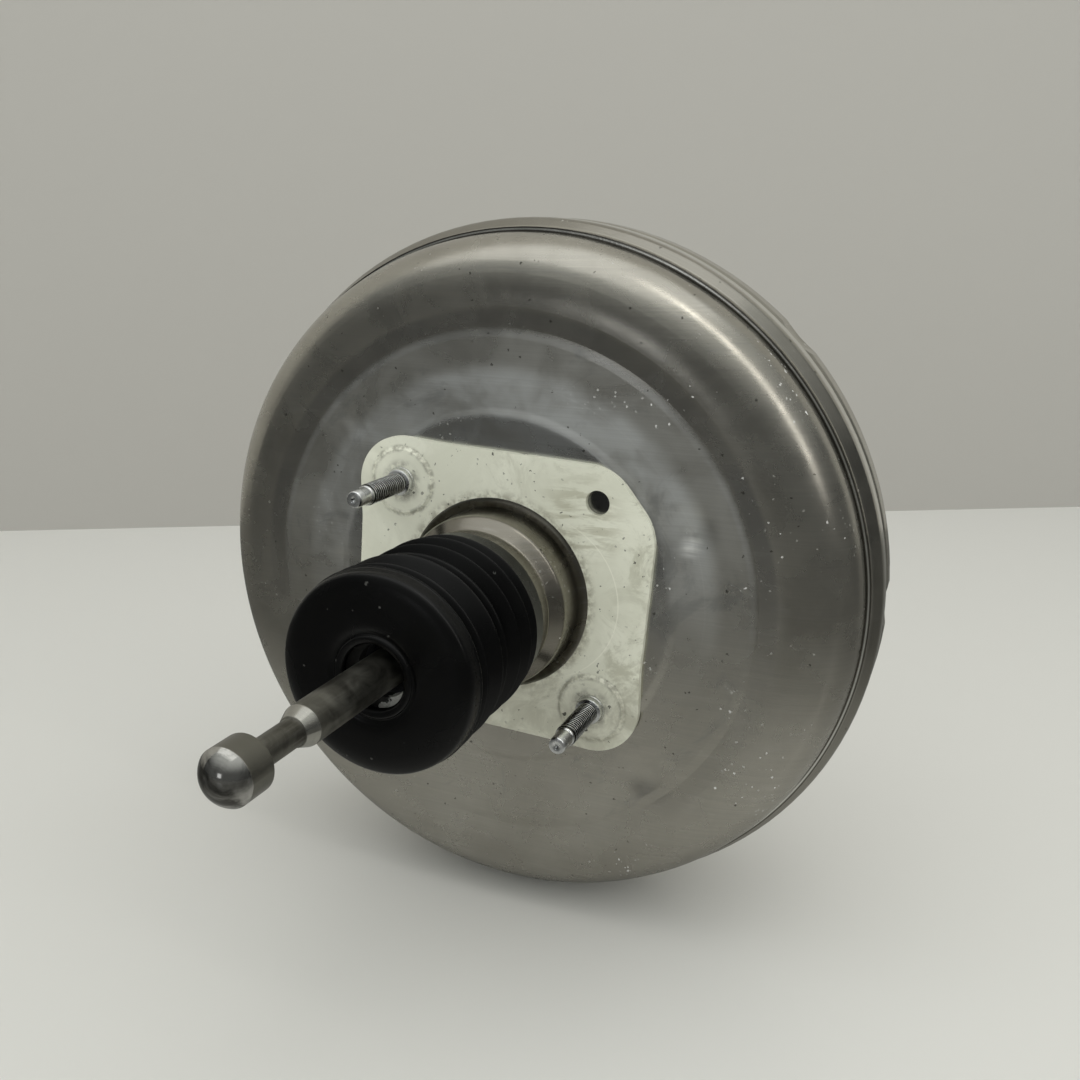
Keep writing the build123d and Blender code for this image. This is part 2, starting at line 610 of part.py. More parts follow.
def check_valve_base():
    """Plastic stem that plugs into the grommet and carries the valve seat."""
    flange_rear, seat, _ = valve_levels()
    stem_r = GROMMET_BORE_R - SEAT_GAP
    bore_r = stem_r - VALVE_SHEET
    flange_r = VALVE_BODY_R + VALVE_FLANGE_REACH
    spigot_r = VALVE_BODY_R - VALVE_SHEET - SEAT_GAP
    inner_end = VALVE_FACE - FRONT_SHEET - VALVE_TAIL
    profile = turned([
        (bore_r, inner_end), (stem_r, inner_end), (stem_r, flange_rear),
        (flange_r, flange_rear), (flange_r, flange_rear + VALVE_FLANGE),
        (spigot_r, flange_rear + VALVE_FLANGE), (spigot_r, seat - VALVE_SEAT_EDGE),
        (bore_r + VALVE_SEAT_WIDTH, seat - VALVE_SEAT_EDGE),
        (bore_r + 2 * VALVE_SEAT_WIDTH / 3, seat), (bore_r, seat),
    ])
    return at_places(profile, [valve_place()])[0]


def check_valve_elbow():
    """Plastic cap with a barbed hose nipple that points away from the booster's axis."""
    flange_rear, _, roof = valve_levels()
    foot = flange_rear + VALVE_FLANGE + SEAT_GAP
    inner_r = VALVE_BODY_R - VALVE_SHEET
    cap = turned([(0, foot), (VALVE_BODY_R, foot), (VALVE_BODY_R, roof), (0, roof)],
                 [0, 0, VALVE_CAP_BEND_R, 0])
    nipple_y = roof - NIPPLE_R - VALVE_SHEET / 2
    rise = NIPPLE_BARB_R - NIPPLE_R
    half = [(0, 0), (NIPPLE_R, 0)]
    for index in range(NIPPLE_RIDGE_COUNT):
        base = VALVE_BODY_R + NIPPLE_START + index * NIPPLE_RIDGE
        half += [(NIPPLE_R, base), (NIPPLE_BARB_R, base + rise), (NIPPLE_R, base + NIPPLE_RIDGE - rise / 2)]
    half += [(NIPPLE_R, NIPPLE_LENGTH), (0, NIPPLE_LENGTH)]
    nipple = Pos(0, nipple_y, 0) * Rotation(90, 0, 0) * turned(half)
    hollow = turned([(0, foot - VALVE_SHEET), (inner_r, foot - VALVE_SHEET),
                     (inner_r, roof - VALVE_SHEET), (0, roof - VALVE_SHEET)])
    bore_plane = Plane(origin=(0, nipple_y, 0), x_dir=(1, 0, 0), z_dir=(0, 0, 1))
    bore = extrude(bore_plane * Circle(NIPPLE_BORE_R), NIPPLE_LENGTH + NIPPLE_R)
    x, z = valve_place()
    return Pos(x, 0, z) * Rotation(0, 90 - VALVE_ANGLE, 0) * (cap + nipple - hollow - bore)


def check_valve_disc():
    """Rubber disc that lifts off its seat towards the engine."""
    _, seat, _ = valve_levels()
    radius = VALVE_BODY_R - VALVE_SHEET - DISC_ROOM
    top = seat + DISC_THICK
    profile = turned([(0, seat + SEAT_GAP), (radius, seat + SEAT_GAP), (radius, top),
                      (DISC_STUB_R, top), (DISC_STUB_R, top + DISC_STUB), (0, top + DISC_STUB)])
    return at_places(profile, [valve_place()])[0]


def check_valve_spring():
    """Light spring that seats the check valve's disc."""
    _, seat, roof = valve_levels()
    spring = coil(VALVE_SPRING_R, VALVE_SPRING_WIRE_R, seat + DISC_THICK + SEAT_GAP,
                  roof - VALVE_SHEET - SEAT_GAP, VALVE_SPRING_TURNS)
    return at_places(spring, [valve_place()])[0]


# ---- Power piston -------------------------------------------------------------------------
def valve_body():
    """Hollow plastic body: tube, hub, reaction nose, valve seat, air and vacuum passages."""
    seat_top = WEB_START - VACUUM_SEAT
    body = turned([
        (NOSE_R, NOSE_END), (NOSE_R, BOSS_END), (BOSS_R, BOSS_END), (BOSS_R, HUB_END),
        (HUB_R, HUB_END), (HUB_R, HUB_START), (TUBE_R, HUB_START), (TUBE_R, TUBE_END),
        (TUBE_BORE_R, TUBE_END), (TUBE_BORE_R, WEB_START),
        (VACUUM_SEAT_R + VACUUM_SEAT_FOOT, WEB_START), (VACUUM_SEAT_R + VACUUM_SEAT_TOP, seat_top),
        (VACUUM_SEAT_R - VACUUM_SEAT_TOP, seat_top), (VACUUM_SEAT_R - VACUUM_SEAT_FOOT, WEB_START),
        (AIR_BORE_R, WEB_START), (AIR_BORE_R, AIR_BORE_END), (PLUNGER_BORE_R, AIR_BORE_END),
        (PLUNGER_BORE_R, WEB_END), (POCKET_R, WEB_END), (POCKET_R, NOSE_END),
    ], [0, 1.5, 0, 0, 1.5, 1.5, 3.0, 0, 0, 1.0, 0, 0, 0, 0, 0, 0, 0, 0, 0, 0])
    rise = BOSS_END - WEB_START
    lean = PASSAGE_FRONT_R - PASSAGE_REAR_R
    for quarter in range(4):
        angle = math.radians(45 + 90 * quarter)
        out = Vector(math.cos(angle), 0, math.sin(angle))
        way = Vector(0, rise, 0) + out * lean
        start = out * PASSAGE_REAR_R + Vector(0, WEB_START, 0) - way * 0.1
        body -= extrude(Plane(origin=start, z_dir=way) * Circle(PASSAGE_R), way.length * 1.2)
    slot_thick = KEY_THICK + 2 * SEAT_GAP
    slot = Box(KEY_WIDTH + 2 * SEAT_GAP, slot_thick, 2 * KEY_REACH)
    return body - Pos(0, KEY_START + KEY_THICK / 2, 0) * slot


def plunger_key():
    """Flat fork in the valve body's slot that holds the plunger by its groove."""
    middle = Pos(0, KEY_START + KEY_THICK / 2, 0)
    key = middle * Box(KEY_WIDTH, KEY_THICK, 2 * KEY_REACH)
    fork_r = PLUNGER_GROOVE_R + 2 * RUN_GAP
    key -= rod_along_y(fork_r, KEY_START - KEY_THICK, KEY_START + 2 * KEY_THICK)
    mouth = Box(2 * fork_r, 2 * KEY_THICK, KEY_REACH + KEY_THICK)
    return key - middle * Pos(0, 0, (KEY_REACH + KEY_THICK) / 2) * mouth


def wall_points():
    """Rear face of the diaphragm plate, from the hub to the rim."""
    return [
        (BOSS_R + SEAT_GAP, WALL_HUB_Y), (WALL_HUB_R, WALL_HUB_Y), (WALL_FLAT_R, WALL_FLAT_Y),
        (WALL_CONE_R, WALL_FLAT_Y), (WALL_RIM_R, WALL_CONE_END),
    ]


def bush_holes():
    """Holes round the bolts through the diaphragm and its plate."""
    radius = BUSH_NECK_R + SEAT_GAP
    return [rod_along_y(radius, FACE_IN, WALL_RIM_END, x=px, z=pz) for px, pz in BOLT_PLACES]


def diaphragm_plate():
    """Pressed aluminium disc that backs the diaphragm."""
    plate = pressed(wall_points() + [(WALL_RIM_R, WALL_RIM_END)], WALL_BENDS, WALL_SHEET)
    return plate - bush_holes()


def diaphragm():
    """Rubber wall with its hub bead, bumper rib, rolling fold and clamped rim bead."""
    leg_end = (RIM_BEAD_Y + RIM_BEAD_END) / 2
    points = wall_points() + [(WALL_RIM_R, ROLL_TOP), (ROLL_R, ROLL_TOP), (ROLL_R, leg_end)]
    fold_r = (ROLL_R - WALL_RIM_R) / 2 - FOLD_FLAT
    fold_r = min(fold_r, 0.8 * (ROLL_TOP - leg_end))
    rubber = pressed(points, WALL_BENDS + [fold_r, fold_r], RUBBER_SHEET, Side.RIGHT)
    hub_bead = tube_along_y(BOSS_R + SEAT_GAP, HUB_R - HUB_BEAD_INSET, HUB_END + SEAT_GAP, WALL_HUB_Y)
    rib = tube_along_y(RIB_R, RIB_R + RIB, FACE_IN + RIB_GAP, WALL_FLAT_Y - RUBBER_SHEET / 2)
    bead_in = ROLL_R - RUBBER_SHEET - RIM_BEAD_LIP
    bead_out = RIM_BORE_R - RIM_BEAD_GAP
    rim_bead = turned([(bead_in, RIM_BEAD_Y), (bead_out, RIM_BEAD_Y), (bead_out, RIM_BEAD_END),
                       (bead_in, RIM_BEAD_END)], RIM_BEAD_BEND_R)
    return rubber + hub_bead + rib + rim_bead - bush_holes()


def diaphragm_ring():
    """Toothed ring pressed on the boss, which holds the plate and the diaphragm."""
    rear = WALL_HUB_Y + WALL_SHEET + SEAT_GAP
    bore = BOSS_R + SEAT_GAP
    return turned([
        (bore, rear), (WALL_RING_R, rear), (WALL_RING_R, rear + WALL_RING / 2),
        (bore + WALL_RING_BEVEL, rear + WALL_RING), (bore, rear + WALL_RING),
    ])


def bolt_slide_seals():
    """Grooved rubber bushes that let the moving wall slide along the bolts."""
    bore = BOLT_SHAFT_R + RUN_GAP
    back = WALL_FLAT_Y - RUBBER_SHEET - SEAT_GAP
    front = WALL_FLAT_Y + WALL_SHEET + SEAT_GAP
    bush = turned([
        (bore, back - BUSH_REAR), (BUSH_NECK_R + BUSH_FLANGE, back - BUSH_REAR),
        (BUSH_NECK_R + BUSH_FLANGE, back), (BUSH_NECK_R, back), (BUSH_NECK_R, front),
        (BUSH_NECK_R + BUSH_LIP, front), (BUSH_NECK_R + BUSH_TIP, front + BUSH_FRONT),
        (bore, front + BUSH_FRONT),
    ])
    return Compound(children=at_places(bush, BOLT_PLACES))


def return_spring():
    """Main spring between the diaphragm plate's hub and the reinforcement plate."""
    start = WALL_HUB_Y + WALL_SHEET + SEAT_GAP
    return coil(SPRING_R, SPRING_WIRE_R, start, BRACE_REAR - SEAT_GAP, SPRING_TURNS)


def reaction_disc():
    """Rubber disc in the nose's pocket."""
    return rod_along_y(POCKET_R - SEAT_GAP, WEB_END + SEAT_GAP, WEB_END + REACTION_DISC)


def output_rod():
    """Headed rod that presses on the master cylinder's piston."""
    start = WEB_END + REACTION_DISC + SEAT_GAP
    head_end = start + OUTPUT_HEAD
    tip_start = OUTPUT_END - OUTPUT_TIP
    return turned([
        (0, start), (POCKET_R - RUN_GAP, start), (POCKET_R - RUN_GAP, head_end),
        (OUTPUT_ROD_R, head_end), (OUTPUT_ROD_R, tip_start - OUTPUT_TIP_CHAMFER),
        (OUTPUT_TIP_R, tip_start), (OUTPUT_TIP_R, OUTPUT_END), (0, OUTPUT_END),
    ], [0, 1.0, 0, 2.0, 0, 0, OUTPUT_TIP_BEND_R, 0])


def output_rod_cap():
    """Pressed cap on the nose that keeps the output rod's head in its pocket."""
    inner = NOSE_R + SEAT_GAP
    outer = inner + OUTPUT_CAP_SHEET
    floor = NOSE_END + SEAT_GAP
    eye = OUTPUT_ROD_R + OUTPUT_CAP_ROOM
    return turned([
        (inner, floor), (inner, floor - OUTPUT_CAP_SKIRT), (outer, floor - OUTPUT_CAP_SKIRT),
        (outer, floor + OUTPUT_CAP_SHEET), (eye, floor + OUTPUT_CAP_SHEET), (eye, floor),
    ])


def poppet_valve():
    """Rubber poppet: lip that meets both seats, a fold, and the bead in the bore."""
    bead_front = POPPET_RETAINER_Y + POPPET_BEAD
    bead_rear = POPPET_RETAINER_Y + SEAT_GAP
    bead_r = TUBE_BORE_R - SEAT_GAP
    lip_rear = POPPET_FACE - POPPET_LIP
    return turned([
        (POPPET_BORE_R, POPPET_FACE), (POPPET_R, POPPET_FACE), (POPPET_R, POPPET_FACE - POPPET_HEAD),
        (POPPET_R - POPPET_WAIST, bead_front), (bead_r, bead_front), (bead_r, bead_rear),
        (POPPET_R - POPPET_WAIST - POPPET_WALL, bead_rear),
        (POPPET_R - POPPET_WALL, POPPET_FACE - POPPET_HEAD), (POPPET_R - POPPET_WALL, lip_rear),
        (POPPET_BORE_R, lip_rear),
    ])


def poppet_retainer():
    """Steel ring in the bore that holds the poppet's bead and seats two springs."""
    return tube_along_y(ROD_R + POPPET_RETAINER_ROOM, TUBE_BORE_R - SEAT_GAP,
                        POPPET_RETAINER_Y - POPPET_RETAINER, POPPET_RETAINER_Y)


def poppet_spring():
    """Light spring that closes the poppet."""
    return coil(VACUUM_SEAT_R - POPPET_SPRING_INSET, POPPET_SPRING_WIRE_R,
                POPPET_RETAINER_Y + SEAT_GAP, POPPET_FACE - POPPET_LIP - SEAT_GAP, POPPET_SPRING_TURNS)


def air_filter():
    """Foam ring in the valve body's tube."""
    return tube_along_y(FILTER_BORE_R, TUBE_BORE_R - SEAT_GAP, FILTER_START,
                        FILTER_START + FILTER_LENGTH)


def silencer():
    """White felt ring behind the boot's opening."""
    return tube_along_y(FILTER_BORE_R, TUBE_BORE_R - SEAT_GAP, FELT_START, FELT_START + FELT_LENGTH)


# ---- Plunger and push rod -----------------------------------------------------------------
def valve_plunger():
    """Air valve's plunger, with the socket for the push rod's ball and the key's groove."""
    groove_front = KEY_START + KEY_THICK + 2 * RUN_GAP
    groove_rear = KEY_START - PLUNGER_TRAVEL - PLUNGER_SPARE
    nose_end = WEB_END - PLUNGER_TRAVEL - PLUNGER_SPARE
    guide = PLUNGER_BORE_R - RUN_GAP
    plunger = turned([
        (0, PLUNGER_FLANGE_START), (PLUNGER_FLANGE_R, PLUNGER_FLANGE_START),
        (PLUNGER_FLANGE_R, PLUNGER_FLANGE_END), (guide, PLUNGER_FLANGE_END),
        (guide, groove_rear), (PLUNGER_GROOVE_R, groove_rear),
        (PLUNGER_GROOVE_R, groove_front), (guide, groove_front),
        (guide, nose_end - PLUNGER_NOSE), (PLUNGER_NOSE_R, nose_end - PLUNGER_NOSE),
        (PLUNGER_NOSE_R, nose_end), (0, nose_end),
    ])
    plunger -= Pos(0, BALL_Y, 0) * Sphere(BALL_R + RUN_GAP)
    return plunger - rod_along_y(BALL_THROAT_R, PLUNGER_FLANGE_START - BALL_R, BALL_Y)


def push_rod():
    """Pedal rod: ball, spring shoulder, shank, turned taper, waist and domed head."""
    head_end = HEAD_START - HEAD_LENGTH
    dome_centre = head_end + math.sqrt(HEAD_DOME_R ** 2 - HEAD_R ** 2)
    rod = turned([
        (0, BALL_Y), (ROD_NECK_R, BALL_Y), (ROD_NECK_R, ROD_NECK_END),
        (ROD_FRONT_R, ROD_NECK_END - ROD_BEVEL), (ROD_FRONT_R, ROD_SHOULDER_Y),
        (ROD_R, ROD_SHOULDER_Y), (ROD_R, ROD_TAPER_START), (ROD_WAIST_R + ROD_WAIST_STEP, ROD_TAPER_END),
        (ROD_WAIST_R, ROD_TAPER_END - ROD_WAIST_STEP), (ROD_WAIST_R, HEAD_START + 2 * ROD_COLLAR),
        (ROD_COLLAR_R, HEAD_START + ROD_COLLAR), (ROD_COLLAR_R, HEAD_START),
        (HEAD_R - HEAD_CHAMFER, HEAD_START), (HEAD_R, HEAD_START - HEAD_CHAMFER),
        (HEAD_R, head_end), (0, head_end),
    ], [0, 0, 0, 0, 0, 0, 1.6, 0, 0, 0, 0, 0, 0, 0, 0, 0])
    rod += Pos(0, BALL_Y, 0) * Sphere(BALL_R)
    dome = Pos(0, dome_centre, 0) * Sphere(HEAD_DOME_R)
    return rod + (dome & rod_along_y(HEAD_R, head_end - HEAD_DOME_R, head_end))


def rod_spring_seat():
    """Washer that rests on the push rod's shoulder."""
    start = ROD_SHOULDER_Y + SEAT_GAP
    bore = ROD_FRONT_R + SEAT_GAP
    lip_end = start + 2 * ROD_SEAT_SHEET
    return turned([
        (bore, start), (ROD_SEAT_R, start), (ROD_SEAT_R, start + ROD_SEAT_SHEET),
        (bore + ROD_SEAT_LIP, start + ROD_SEAT_SHEET), (bore + ROD_SEAT_LIP, lip_end), (bore, lip_end),
    ])


def rod_return_spring():
    """Spring that returns the push rod and its plunger."""
    start = ROD_SHOULDER_Y + 2 * SEAT_GAP + ROD_SEAT_SHEET
    return coil(ROD_SPRING_R, SMALL_WIRE_R, start, POPPET_RETAINER_Y - POPPET_RETAINER - SEAT_GAP,
                ROD_SPRING_TURNS)


# ---- Boot ---------------------------------------------------------------------------------
def boot():
    """Rubber bellows from the neck to the valve body's end, open round the push rod."""
    length = BOOT_FOLD_END - BOOT_END
    folds = [(share * NECK_R, BOOT_END + along * length) for along, share in BOOT_FOLDS]
    cuff_r = NECK_R + 2 * SEAT_GAP
    sock_r = TUBE_R + 2 * SEAT_GAP
    inner_face = BOOT_END + BOOT_FACE
    outer = [
        (BOOT_BORE_R, BOOT_END + BOOT_LIP), (BOOT_LIP_R, BOOT_END), (BOOT_FACE_R, BOOT_END),
        (BOOT_SHOULDER_R, BOOT_END + BOOT_SHOULDER),
    ]
    cuff = [
        (cuff_r + BOOT_WALL, BOOT_FOLD_END + BOOT_CUFF_LEAD), (cuff_r + BOOT_WALL, BOOT_MOUTH),
        (cuff_r, BOOT_MOUTH), (cuff_r, BOOT_FOLD_END),
    ]
    inner = [(radius - BOOT_WALL, y) for radius, y in reversed(folds)]
    sock = [
        (BOOT_FACE_R, inner_face), (sock_r + BOOT_SOCK_WALL, inner_face),
        (sock_r + BOOT_SOCK_WALL, inner_face + BOOT_SOCK), (sock_r, inner_face + BOOT_SOCK),
        (sock_r, inner_face), (BOOT_BORE_R, inner_face),
    ]
    return turned(outer + folds + cuff + inner + sock)


# ---- Build --------------------------------------------------------------------------------
PIECES = {
    "rear_shell": rear_shell,
    "front_shell": front_shell,
    "mounting_plate": mounting_plate,
    "tie_bolts": tie_bolts,
    "tie_bolt_o_rings": tie_bolt_o_rings,
    "front_reinforcement": front_reinforcement,
    "neck_guide": neck_guide,
    "neck_seal": neck_seal,
    "check_valve_grommet": check_valve_grommet,
    "check_valve_base": check_valve_base,
    "check_valve_elbow": check_valve_elbow,
    "check_valve_disc": check_valve_disc,
    "check_valve_spring": check_valve_spring,
    "valve_body": valve_body,
    "plunger_key": plunger_key,
    "diaphragm_plate": diaphragm_plate,
    "diaphragm": diaphragm,
    "diaphragm_ring": diaphragm_ring,
    "bolt_slide_seals": bolt_slide_seals,
    "return_spring": return_spring,
    "reaction_disc": reaction_disc,
    "output_rod": output_rod,
    "output_rod_cap": output_rod_cap,
    "poppet_valve": poppet_valve,
    "poppet_retainer": poppet_retainer,
    "poppet_spring": poppet_spring,
    "air_filter": air_filter,
    "silencer": silencer,
    "valve_plunger": valve_plunger,
    "push_rod": push_rod,
    "rod_spring_seat": rod_spring_seat,
    "rod_return_spring": rod_return_spring,
    "boot": boot,
}

os.makedirs("parts", exist_ok=True)
for name, make in PIECES.items():
    export_step(make(), f"parts/{name}.step")
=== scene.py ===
"""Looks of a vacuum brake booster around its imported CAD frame.

Metres, in the row frame: the booster's axis is Y, -Y points to the pedal, +Z is up, and the
origin is the centre of the mounting plate's outer face. Every piece is drawn in place.
"""

import json
import math

import bmesh
import bpy
from mathutils import Matrix, Vector


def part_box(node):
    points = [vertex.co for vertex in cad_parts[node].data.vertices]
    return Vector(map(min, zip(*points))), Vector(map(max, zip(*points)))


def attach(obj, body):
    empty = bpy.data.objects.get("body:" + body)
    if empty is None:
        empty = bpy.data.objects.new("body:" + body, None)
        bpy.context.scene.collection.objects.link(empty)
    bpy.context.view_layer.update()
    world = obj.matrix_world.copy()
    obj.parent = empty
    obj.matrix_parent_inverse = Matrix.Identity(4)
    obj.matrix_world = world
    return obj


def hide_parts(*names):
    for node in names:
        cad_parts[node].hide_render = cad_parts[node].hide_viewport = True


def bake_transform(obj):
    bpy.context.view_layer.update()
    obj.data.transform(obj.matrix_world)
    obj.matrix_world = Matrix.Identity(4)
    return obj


MM = 0.001

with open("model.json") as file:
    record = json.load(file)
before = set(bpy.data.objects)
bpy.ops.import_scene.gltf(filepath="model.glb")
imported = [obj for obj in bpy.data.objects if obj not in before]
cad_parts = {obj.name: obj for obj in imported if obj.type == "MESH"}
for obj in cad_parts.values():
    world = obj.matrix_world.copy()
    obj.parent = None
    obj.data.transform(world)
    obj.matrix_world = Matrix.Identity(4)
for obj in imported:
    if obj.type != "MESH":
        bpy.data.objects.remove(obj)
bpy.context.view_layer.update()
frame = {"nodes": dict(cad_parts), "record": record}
nodes = frame["nodes"]

# ---- Places taken from the frame ----------------------------------------------------------
FLOOR_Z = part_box("front_shell")[0].z
BOLT_SPAN = 80.0 * MM
BOLT_PLACES = [(-BOLT_SPAN / 2, BOLT_SPAN / 2), (BOLT_SPAN / 2, -BOLT_SPAN / 2)]
SPARE_PLACES = [(BOLT_SPAN / 2, BOLT_SPAN / 2), (-BOLT_SPAN / 2, -BOLT_SPAN / 2)]

# ---- Camera -------------------------------------------------------------------------------
CAMERA_PLACE = (0.16766, -0.35841, 0.13452)
CAMERA_AZIMUTH = 22.68          # degrees, 0 looks along +Y
CAMERA_ELEVATION = 15.95
CAMERA_ROLL = 0.96
CAMERA_LENS = 36.35             # mm
CAMERA_SENSOR = 36              # mm


# ---- Node-graph helper --------------------------------------------------------------------
class Graph:
    """A material's node tree with short calls for the nodes used here."""

    def __init__(self, name):
        self.material = bpy.data.materials.new(name)
        self.material.use_nodes = True
        self.tree = self.material.node_tree
        self.shader = self.tree.nodes["Principled BSDF"]

    def node(self, kind, **settings):
        made = self.tree.nodes.new(kind)
        for key, value in settings.items():
            setattr(made, key, value)
        return made

    def link(self, source, socket):
        """Feeds a socket from another node's output, or sets it when source is a plain value."""
        if hasattr(source, "is_output"):
            self.tree.links.new(source, socket)
        else:
            socket.default_value = source

    def set(self, **inputs):
        """Sets or links the shader's inputs; an underscore stands for a space."""
        for key, value in inputs.items():
            self.link(value, self.shader.inputs[key.replace("_", " ")])

    def place(self):
        """The surface point in the row frame, in metres."""
        return self.node("ShaderNodeTexCoord").outputs["Object"]

    def scaled(self, vector, scale):
        made = self.node("ShaderNodeMapping")
        self.link(vector, made.inputs["Vector"])
        made.inputs["Scale"].default_value = scale
        return made.outputs["Vector"]

    def noise(self, vector, scale, detail=4.0, roughness=0.55, distortion=0.0):
        made = self.node("ShaderNodeTexNoise")
        self.link(vector, made.inputs["Vector"])
        made.inputs["Scale"].default_value = scale
        made.inputs["Detail"].default_value = detail
        made.inputs["Roughness"].default_value = roughness
        made.inputs["Distortion"].default_value = distortion
        return made.outputs["Fac"]

    def math(self, operation, first, second=0.0, third=0.0):
        made = self.node("ShaderNodeMath", operation=operation)
        for value, socket in zip((first, second, third), made.inputs):
            self.link(value, socket)
        return made.outputs[0]

    def span(self, value, low, high, to_low=0.0, to_high=1.0, smooth=True):
        """Maps a value from low..high to to_low..to_high, held at the ends."""
        made = self.node("ShaderNodeMapRange")
        made.interpolation_type = "SMOOTHSTEP" if smooth else "LINEAR"
        for name, item in (("Value", value), ("From Min", low), ("From Max", high),
                           ("To Min", to_low), ("To Max", to_high)):
            self.link(item, made.inputs[name])
        return made.outputs["Result"]

    def mix(self, fac, first, second):
        """Mixes two colours."""
        made = self.node("ShaderNodeMix", data_type="RGBA")
        self.link(fac, made.inputs[0])
        for value, socket in ((first, made.inputs[6]), (second, made.inputs[7])):
            if isinstance(value, tuple):
                value = (*value, 1.0)[:4]
            self.link(value, socket)
        return made.outputs[2]

    def split(self, vector):
        made = self.node("ShaderNodeSeparateXYZ")
        self.link(vector, made.inputs[0])
        return made.outputs

    def distance(self, first, second):
        """Length of the vector whose two parts are given."""
        squares = self.math("ADD", self.math("MULTIPLY", first, first),
                            self.math("MULTIPLY", second, second))
        return self.math("SQRT", squares)

    def radius(self, vector, x=0.0, z=0.0):
        """Distance from the line parallel to Y through (x, z)."""
        parts = self.split(vector)
        return self.distance(self.math("SUBTRACT", parts["X"], x), self.math("SUBTRACT", parts["Z"], z))

    def radius_z(self, vector, x=0.0, y=0.0):
        """Distance from the upright line through (x, y)."""
        parts = self.split(vector)
        return self.distance(self.math("SUBTRACT", parts["X"], x), self.math("SUBTRACT", parts["Y"], y))

    def around(self, place, fine, slow):
        """Coordinates for marks that run round the Y axis: fine across them, slow along them."""
        parts = self.split(place)
        angle = self.math("ARCTAN2", parts["Z"], parts["X"])
        made = self.node("ShaderNodeCombineXYZ")
        self.link(self.math("MULTIPLY", self.radius(place), fine), made.inputs[0])
        self.link(self.math("MULTIPLY", parts["Y"], fine), made.inputs[1])
        self.link(self.math("MULTIPLY", self.math("ABSOLUTE", angle), slow), made.inputs[2])
        return made.outputs[0]

    def band(self, value, low, high, soft):
        """1 between low and high, falling to 0 over soft on both sides."""
        rise = self.span(value, low - soft, low + soft)
        fall = self.span(value, high - soft, high + soft)
        return self.math("SUBTRACT", rise, fall)

    def bump(self, height, strength, distance, normal=None):
        made = self.node("ShaderNodeBump")
        self.link(height, made.inputs["Height"])
        made.inputs["Strength"].default_value = strength
        made.inputs["Distance"].default_value = distance
        if normal is not None:
            self.link(normal, made.inputs["Normal"])
        return made.outputs["Normal"]


# ---- Mesh helpers -------------------------------------------------------------------------
def piece_from(name, vertices, faces, smooth=True):
    """A mesh object in place in the row frame."""
    mesh = bpy.data.meshes.new(name)
    mesh.from_pydata([tuple(v) for v in vertices], [], faces)
    mesh.validate()
    bm = bmesh.new()
    bm.from_mesh(mesh)
    bmesh.ops.recalc_face_normals(bm, faces=bm.faces)
    bm.to_mesh(mesh)
    bm.free()
    for polygon in mesh.polygons:
        polygon.use_smooth = smooth
    made = bpy.data.objects.new(name, mesh)
    bpy.context.scene.collection.objects.link(made)
    return made


def lathe(name, profile, segments=192, shape=None):
    """Turns a closed (radius, y) profile about Y. shape moves each point: (radius, y, angle)."""
    count = len(profile)
    vertices = []
    for step in range(segments):
        angle = 2 * math.pi * step / segments
        for radius, y in profile:
            if shape is not None:
                radius, y = shape(radius, y, angle)
            vertices.append((radius * math.cos(angle), y, radius * math.sin(angle)))
    faces = []
    for step in range(segments):
        base, after = step * count, (step + 1) % segments * count
        for index in range(count):
            follow = (index + 1) % count
            faces.append((base + index, base + follow, after + follow, after + index))
    return piece_from(name, vertices, faces)


def smooth_line(points, steps=6):
    """Catmull-Rom curve through 2-D points."""
    line = []
    padded = [points[0], *points, points[-1]]
    for index in range(len(points) - 1):
        a, b, c, d = (Vector(p) for p in padded[index:index + 4])
        for step in range(steps):
            t = step / steps
            line.append(tuple(0.5 * (2 * b + (c - a) * t + (2 * a - 5 * b + 4 * c - d) * t * t
                                     + (3 * b - a - 3 * c + d) * t * t * t)))
    line.append(tuple(points[-1]))
    return line


def copy_of(node):
    """A free copy of a CAD node's mesh, which then stands for the node."""
    made = bpy.data.objects.new(node + "_piece", nodes[node].data.copy())
    bpy.context.scene.collection.objects.link(made)
    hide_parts(node)
    return made


def dress(thing, material):
    """Gives an object one material."""
    thing.data.materials.clear()
    thing.data.materials.append(material)


# ---- Materials ----------------------------------------------------------------------------
def specks(graph, place, scale, size, cover, seed_shift):
    """Small ragged spots: 1 inside a spot. cover sets the share of cells that have one."""
    shifted = graph.node("ShaderNodeMapping")
    graph.link(place, shifted.inputs["Vector"])
    shifted.inputs["Location"].default_value = seed_shift
    place = shifted.outputs["Vector"]
    bent = graph.node("ShaderNodeVectorMath", operation="ADD")
    wobble = graph.node("ShaderNodeTexNoise")
    graph.link(place, wobble.inputs["Vector"])
    wobble.inputs["Scale"].default_value = scale * 2.3
    small = graph.node("ShaderNodeVectorMath", operation="SCALE")
    graph.link(wobble.outputs["Color"], small.inputs[0])
    small.inputs["Scale"].default_value = 0.9 / scale
    graph.link(place, bent.inputs[0])
    graph.link(small.outputs[0], bent.inputs[1])
    cell = graph.node("ShaderNodeTexVoronoi")
    graph.link(bent.outputs[0], cell.inputs["Vector"])
    cell.inputs["Scale"].default_value = scale
    chosen = graph.math("LESS_THAN", graph.split(cell.outputs["Color"])["X"], cover)
    limit = graph.math("MULTIPLY", graph.split(cell.outputs["Color"])["Y"], size)
    inside = graph.span(graph.math("SUBTRACT", cell.outputs["Distance"], limit), -0.03, 0.03, 1, 0)
    return graph.math("MULTIPLY", inside, chosen)


def product(graph, *values):
    """Multiplies masks together."""
    made = values[0]
    for value in values[1:]:
        made = graph.math("MULTIPLY", made, value)
    return made


